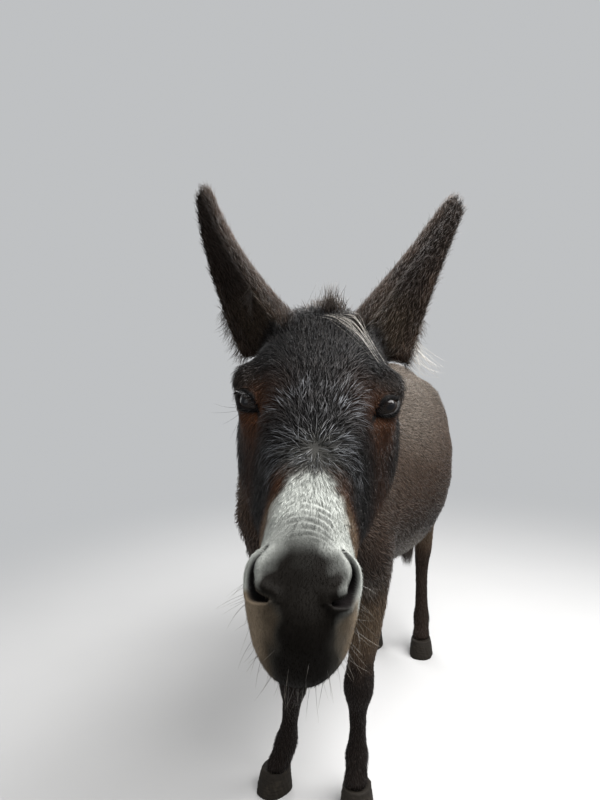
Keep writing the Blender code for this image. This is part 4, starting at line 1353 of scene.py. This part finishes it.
def grow_lashes(colours):
    """Lashes on the upper lids, sparser below, and feelers over and under the eyes."""
    draw = np.random.default_rng(49)
    starts, headings, lengths = [], [], []
    for eye in EYES.values():
        for lid, (count, longest, lean) in LASHES.items():
            along = draw.uniform(-LID_LENGTH_BACK * 0.8, LID_LENGTH_NOSE * 0.85, count)
            high, low, _ = lid_line(along)
            edge = high + 0.0010 if lid == "upper" else low - 0.0010
            starts.append(eye.point(along, edge, np.full(count, EYE_RADIUS + LID_PROUD)))
            fan = along[:, None] / LID_LENGTH_NOSE * eye.along * 0.6
            headings.append(eye.look + fan + eye.up * lean + draw.normal(0, 0.10, (count, 3)))
            lengths.append(draw.uniform(0.6, 1.0, count) * longest)
        count = EYE_FEELERS
        along, up = draw.uniform(-0.02, 0.025, count), np.where(draw.random(count) < 0.5, 0.020, -0.019)
        spots = eye.point(along, up + draw.normal(0, 0.003, count), np.full(count, EYE_RADIUS + 0.004))
        starts.append(spots)
        headings.append(unit(spots - eye.centre) + draw.normal(0, 0.15, (count, 3)))
        lengths.append(draw.uniform(0.025, 0.045, count))
    starts, headings, lengths = (np.concatenate(rows) for rows in (starts, headings, lengths))
    lines = curved_lines(starts, headings, lengths, 6, (0, 0, 0.35), draw, 0.12)
    locks = add_locks("lashes", lines, np.full(len(lines), FEELER), 50)
    finish_piece(locks, "hair", lock_material("lash_hair", colours.black, colours.black, 0.35))


def grow_whiskers(colours):
    """Stiff feelers on the lips, the chin and round the nostrils."""
    draw = np.random.default_rng(51)
    surface = skin_surface()
    left, face, out = HEAD.places(surface.points).T
    chosen = (surface.region["head"] > 0.9) & (face > 0.405) & (out < -0.035) & (surface.bare < 0.1)
    chosen &= np.abs(left) + 0.6 * np.clip(face - 0.44, 0, 1) > 0.026
    picks = draw.choice(np.nonzero(chosen)[0], WHISKERS, replace=False)
    headings = surface.normals[picks] + surface.lie[picks] * 0.5 + draw.normal(0, 0.22, (WHISKERS, 3))
    lengths = draw.uniform(0.010, 0.034, WHISKERS)
    lines = curved_lines(surface.points[picks], headings, lengths, 7, (0, 0, -0.35), draw, 0.35)
    locks = add_locks("whiskers", lines, np.full(WHISKERS, FEELER), 52)
    finish_piece(locks, "hair", lock_material("whisker_hair", colours.naked, colours.whisker, 0.35))


# ---------------------------------------------------------------- eyes and hooves
EYEBALL_RADIUS = EYE_RADIUS - 0.0003
CORNEA = (0.0135, 0.0016)           # its half width, and how far it stands off the ball
HOOF_VOXEL = 0.0022
HOOF_RINGS = 0.0058                 # from one growth ring to the next


def build_eyeball(side, colours):
    """A ball with a bulging cornea over a dark iris and a level, oval pupil."""
    eye = EYES[side]
    bpy.ops.object.select_all(action="DESELECT")
    bpy.ops.mesh.primitive_uv_sphere_add(segments=64, ring_count=40, radius=EYEBALL_RADIUS)
    ball = bpy.context.object
    ball.name = ball.data.name = f"eyeball_{side}"
    axes = np.array((eye.along, eye.up, eye.look))
    local = points_of(ball)
    off_axis = np.hypot(local[:, 0], local[:, 1])
    front = local[:, 2] > 0
    local[:, 2] += np.where(front, CORNEA[1] * ramp(off_axis, CORNEA[0], 0.002), 0)
    set_attribute(ball, "iris", ramp(off_axis, 0.0140, 0.0125) * front)
    set_attribute(ball, "pupil", ramp(np.hypot(local[:, 0] / 1.7, local[:, 1]), 0.0046, 0.0038) * front)
    set_points(ball, local @ axes + eye.centre)
    modify(ball, "WELD", merge_threshold=MERGE)
    edit_all(ball, bpy.ops.mesh.normals_make_consistent, inside=False)
    bpy.ops.object.shade_smooth()
    finish_piece(ball, "eye", eye_material(colours), f"eye_{side}")


def build_hoof(node, horn):
    """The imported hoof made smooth, with its growth rings, a flat sole and a worn edge."""
    hoof = copy_nodes(f"horn_{node}", (node,))
    modify(hoof, "REMESH", mode="VOXEL", voxel_size=HOOF_VOXEL)
    wall = ramp(points_of(hoof)[:, 2], 0.003, 0.008)
    smooth_where(hoof, "wall", 0.1 + 0.9 * wall, 14)
    points, normals, sole = points_of(hoof), normals_of(hoof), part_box(node)[0][2]
    height = points[:, 2] - sole
    rings = np.sin((height + 0.0015 * waves(points, 0.05, 61)) * math.tau / HOOF_RINGS)
    side = ramp(1 - np.abs(normals[:, 2]), 0.3, 0.7)
    points += normals * (0.00035 * rings * side + 0.0004 * side * waves(points, 0.012, 62) - 0.0004)[:, None]
    points[:, 2] = np.where(height < 0.0022, sole, np.maximum(points[:, 2], sole))
    set_points(hoof, points)
    hoof.vertex_groups.clear()
    hoof.data.shade_smooth()
    finish_piece(hoof, "hoof", horn, node)


# ---------------------------------------------------------------- the stage
CAMERA_FROM_POLL = (0.283, -0.807, -0.062)
CAMERA_YAW, CAMERA_PITCH, CAMERA_ROLL = (math.radians(angle) for angle in (22.0, -5.2, -2.5))
LENS, SENSOR = 27.0, 36.0
FLOOR_SIZE = 80
FLOOR_FADE = (0.8, 3.4)             # how far off the floor starts, and ends, turning into the backdrop
LIGHTS = {                          # place, what it looks at, and size; the strength of each is the stage's
    "overhead": ((1.0, -0.35, 2.7), (0.08, -0.45, 0.9), 1.5),
    "rim": ((-2.2, -0.5, 1.5), (0.1, -0.6, 1.0), 1.2),
    "front": ((-0.6, -3.2, 1.7), (0.1, -0.5, 0.9), 1.8),
    "side": ((1.7, 0.7, 2.6), (0.05, 0.3, 0.8), 1.5),
    "back": ((-1.6, 2.9, 2.2), tuple(np.mean(CAD_BOX, axis=0)), 1.8),
}


def place_camera():
    """Close before the head and a little to its left, looking back along the body and slightly down."""
    camera = bpy.data.objects.new("camera", bpy.data.cameras.new("camera"))
    bpy.context.scene.collection.objects.link(camera)
    camera.data.lens, camera.data.sensor_width = LENS, SENSOR
    turn = Matrix.Rotation(CAMERA_YAW, 4, "Z") @ Matrix.Rotation(math.pi / 2 + CAMERA_PITCH, 4, "X")
    turn = turn @ Matrix.Rotation(CAMERA_ROLL, 4, "Z")
    camera.matrix_world = Matrix.Translation(HEAD.poll + np.array(CAMERA_FROM_POLL)) @ turn
    bpy.context.scene.camera = camera


def add_light(name, place, target, size, power):
    light = bpy.data.objects.new(name, bpy.data.lights.new(name, "AREA"))
    bpy.context.scene.collection.objects.link(light)
    light.data.shape, light.data.size, light.data.energy = "DISK", size, power
    light.location = place
    light.rotation_euler = (Vector(target) - Vector(place)).to_track_quat("-Z", "Y").to_euler()


def build_stage(stage):
    """A pale floor that fades into the backdrop, the lights and the camera."""
    bpy.ops.object.select_all(action="DESELECT")
    bpy.ops.mesh.primitive_plane_add(size=FLOOR_SIZE)
    floor = bpy.context.object
    floor.name = "floor"
    paint = Paint("floor")
    speckle = paint.noise(3.0, 4)
    place = paint.node("ShaderNodeTexCoord", output="Object")
    away = paint.node("ShaderNodeVectorMath", {"operation": "LENGTH"}, output="Value", n0=place)
    near = paint.node("ShaderNodeBsdfPrincipled", Roughness=0.75, Specular_IOR_Level=0.2,
                      Base_Color=paint.mix(speckle, rgba(stage.floor), rgba(np.array(stage.floor) * 0.94)))
    far = paint.node("ShaderNodeEmission", Color=rgba(stage.air), Strength=stage.air_strength)
    both = paint.node("ShaderNodeMixShader", n0=paint.ramp(away, *FLOOR_FADE), n1=near, n2=far)
    paint.node("ShaderNodeOutputMaterial", Surface=both)
    floor.data.materials.append(paint.material)
    for name, (place, target, size) in LIGHTS.items():
        add_light(name, place, target, size, getattr(stage, name))
    world = bpy.data.worlds.new("studio")
    world.use_nodes = True
    background = world.node_tree.nodes["Background"]
    background.inputs["Color"].default_value = rgba(stage.air)
    background.inputs["Strength"].default_value = stage.air_strength
    bpy.context.scene.world = world
    bpy.context.scene.view_settings.view_transform = "Standard"
    place_camera()


# ---------------------------------------------------------------- what a user may change
def colour(name, description, default):
    return FloatVectorProperty(name=name, description=description, default=default,
                               subtype="COLOR", min=0, max=1)


def factor(name, description, default):
    return FloatProperty(name=name, description=description, default=default,
                         min=0.1, max=10, subtype="FACTOR")


def watts(name, description, default):
    return FloatProperty(name=name, description=description, default=default, min=0, unit="POWER")


class DonkeyColours(bpy.types.PropertyGroup):
    brown: colour("Body brown", "Main colour of neck, trunk and upper legs", (0.094, 0.060, 0.042))
    # the dark coat also paints the shade on the lower neck and flanks
    black: colour("Dark coat", "Face, ears, back stripe and lower legs", (0.0062, 0.0053, 0.0053))
    copper: colour("Copper", "Round the eyes and beside the bridge of the nose", (0.110, 0.042, 0.017))
    # pale, with tan, also paints the highlight over the top of the back and neck
    pale: colour("Pale", "Bridge of the nose, muzzle and belly", (0.390, 0.402, 0.372))
    tan: colour("Tan", "Lower sides of the muzzle, forearms and feet of the ears", (0.180, 0.130, 0.082))
    # the dark front of the muzzle and the lips: partly their own colour, partly painted shade
    smoke: colour("Smoke", "Front of the muzzle and the lips", (0.0034, 0.0022, 0.0012))
    grizzle: colour("Grizzle", "Tips of the lightest tufts", (0.110, 0.092, 0.078))
    # colour of the painted sheen: a painted highlight on the forehead's hair
    silver: colour("Silver", "Lightest tufts of the forehead", (0.260, 0.270, 0.288))
    mane_tip: colour("Mane tip", "Ends of the mane and of the tail", (0.045, 0.030, 0.020))
    ear_edge: colour("Ear edge", "Long hair on the ears' edges and feet", (0.050, 0.036, 0.027))
    pale_hair: colour("Pale hair", "Long strands at the poll and the left ear", (0.600, 0.560, 0.500))
    whisker: colour("Whiskers", "Feelers on the lips", (0.230, 0.200, 0.160))
    naked: colour("Naked skin", "Rims of lids, nostrils and lips", (0.006, 0.005, 0.005))
    iris: colour("Iris", "Colour of the iris", (0.009, 0.005, 0.003))
    white_of_eye: colour("White of the eye", "The ball beside the iris", (0.014, 0.009, 0.007))
    horn: colour("Horn", "Dark streaks of the hooves", (0.011, 0.009, 0.007))
    horn_light: colour("Light horn", "Light streaks of the hooves", (0.013, 0.010, 0.007))
    dust: colour("Dust", "Dry dust on the hooves", (0.170, 0.140, 0.100))


class DonkeyCoat(bpy.types.PropertyGroup):
    spacing: factor("Spacing", "Distance between tufts, as a share of the natural one", 1.0)
    length: factor("Length", "Length of the tufts, as a share of the natural one", 1.0)
    width: factor("Width", "Width of the tufts, as a share of the natural one", 1.0)


class DonkeyStage(bpy.types.PropertyGroup):
    floor: colour("Floor", "Colour of the floor", (0.46, 0.455, 0.45))
    air: colour("Air", "Colour of the surroundings", (0.93, 0.95, 0.97))
    air_strength: FloatProperty(
        name="Air strength", description="Strength of the surroundings", default=0.56, min=0)
    overhead: watts("Overhead light", "Broad light above the head", 105)
    front: watts("Front light", "Weak light before the nose", 12)
    rim: watts("Rim light", "Weak light at the donkey's right", 9)
    side: watts("Side light", "Light above the donkey's left flank", 90)
    back: watts("Back light", "Light behind the rump", 60)


class DonkeySettings(bpy.types.PropertyGroup):
    colours: PointerProperty(type=DonkeyColours)
    coat: PointerProperty(type=DonkeyCoat)
    stage: PointerProperty(type=DonkeyStage)


class DonkeyOperator:
    bl_options = {"REGISTER", "UNDO"}

    def execute(self, context):
        self.build(context.scene.donkey)
        return {"FINISHED"}


class DONKEY_OT_skin(DonkeyOperator, bpy.types.Operator):
    """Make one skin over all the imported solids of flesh"""
    bl_idname = "donkey.skin"
    bl_label = "Skin"

    def build(self, settings):
        skin = sculpt_skin()
        if len(triangles_of(skin)) > MOST_TRIANGLES:
            raise RuntimeError("the skin has too many triangles")
        surface = skin_surface()
        for mask in MASKS:
            set_attribute(skin, mask, surface.masks[mask])
        set_attribute(skin, "moist", moist_places(surface.points))
        finish_piece(skin, "coat", skin_material(settings.colours), *FLESH)


class DONKEY_OT_coat(DonkeyOperator, bpy.types.Operator):
    """Grow the coat's tufts over the skin, piece by piece"""
    bl_idname = "donkey.coat"
    bl_label = "Coat"

    def build(self, settings):
        surface = skin_surface()
        hair = hair_of(surface, settings.coat)
        fur = fur_material(settings.colours)
        nap = fur_material(settings.colours, "nap", roughness=0.7, shine=0.02)
        for seed, (name, chosen) in enumerate(coat_pieces(surface).items()):
            piece = grow_coat(name, surface, chosen, hair, 100 + seed)
            finish_piece(piece, "coat", nap if name == "coat_muzzle" else fur)


class DONKEY_OT_mane(DonkeyOperator, bpy.types.Operator):
    """Grow the mane, the pale strands at the poll and the fringes of the ears"""
    bl_idname = "donkey.mane"
    bl_label = "Mane"

    def build(self, settings):
        grow_mane(settings.colours)
        grow_forelock(settings.colours)
        grow_ear_tufts(settings.colours)


class DONKEY_OT_tail(DonkeyOperator, bpy.types.Operator):
    """Grow the long hair of the tail"""
    bl_idname = "donkey.tail"
    bl_label = "Tail"

    def build(self, settings):
        grow_tail(settings.colours)


class DONKEY_OT_eyes(DonkeyOperator, bpy.types.Operator):
    """Make the eyeballs, with their lashes"""
    bl_idname = "donkey.eyes"
    bl_label = "Eyes"

    def build(self, settings):
        for side in SIDES:
            build_eyeball(side, settings.colours)
        grow_lashes(settings.colours)


class DONKEY_OT_whiskers(DonkeyOperator, bpy.types.Operator):
    """Grow the feelers of the muzzle"""
    bl_idname = "donkey.whiskers"
    bl_label = "Whiskers"

    def build(self, settings):
        grow_whiskers(settings.colours)


class DONKEY_OT_hooves(DonkeyOperator, bpy.types.Operator):
    """Make the four hooves"""
    bl_idname = "donkey.hooves"
    bl_label = "Hooves"

    def build(self, settings):
        material = hoof_material(settings.colours)
        for leg in LEGS:
            build_hoof(leg.replace("leg", "hoof"), material)


class DONKEY_OT_stage(DonkeyOperator, bpy.types.Operator):
    """Add the floor, the lights and the camera"""
    bl_idname = "donkey.stage"
    bl_label = "Stage"

    def build(self, settings):
        build_stage(settings.stage)


STEPS = (DONKEY_OT_skin, DONKEY_OT_coat, DONKEY_OT_mane, DONKEY_OT_tail, DONKEY_OT_eyes, DONKEY_OT_whiskers,
         DONKEY_OT_hooves, DONKEY_OT_stage)


class DONKEY_PT_panel(bpy.types.Panel):
    """Lists the steps in order, with the sizes and colours they use"""
    bl_label = "Donkey"
    bl_idname = "DONKEY_PT_panel"
    bl_space_type = "VIEW_3D"
    bl_region_type = "UI"
    bl_category = "Donkey"

    def draw(self, context):
        settings = context.scene.donkey
        for step in STEPS:
            self.layout.operator(step.bl_idname)
        for group in (settings.coat, settings.colours, settings.stage):
            box = self.layout.box()
            for key in group.bl_rna.properties.keys():
                if key not in {"rna_type", "name"}:
                    box.prop(group, key)


CLASSES = (DonkeyColours, DonkeyCoat, DonkeyStage, DonkeySettings, *STEPS, DONKEY_PT_panel)


def register():
    for cls in CLASSES:
        bpy.utils.register_class(cls)
    bpy.types.Scene.donkey = PointerProperty(type=DonkeySettings)


def unregister():
    del bpy.types.Scene.donkey
    for cls in reversed(CLASSES):
        bpy.utils.unregister_class(cls)


def main():
    register()
    for step in STEPS:
        group, name = step.bl_idname.split(".")
        getattr(getattr(bpy.ops, group), name)()


if __name__ == "__main__":
    main()
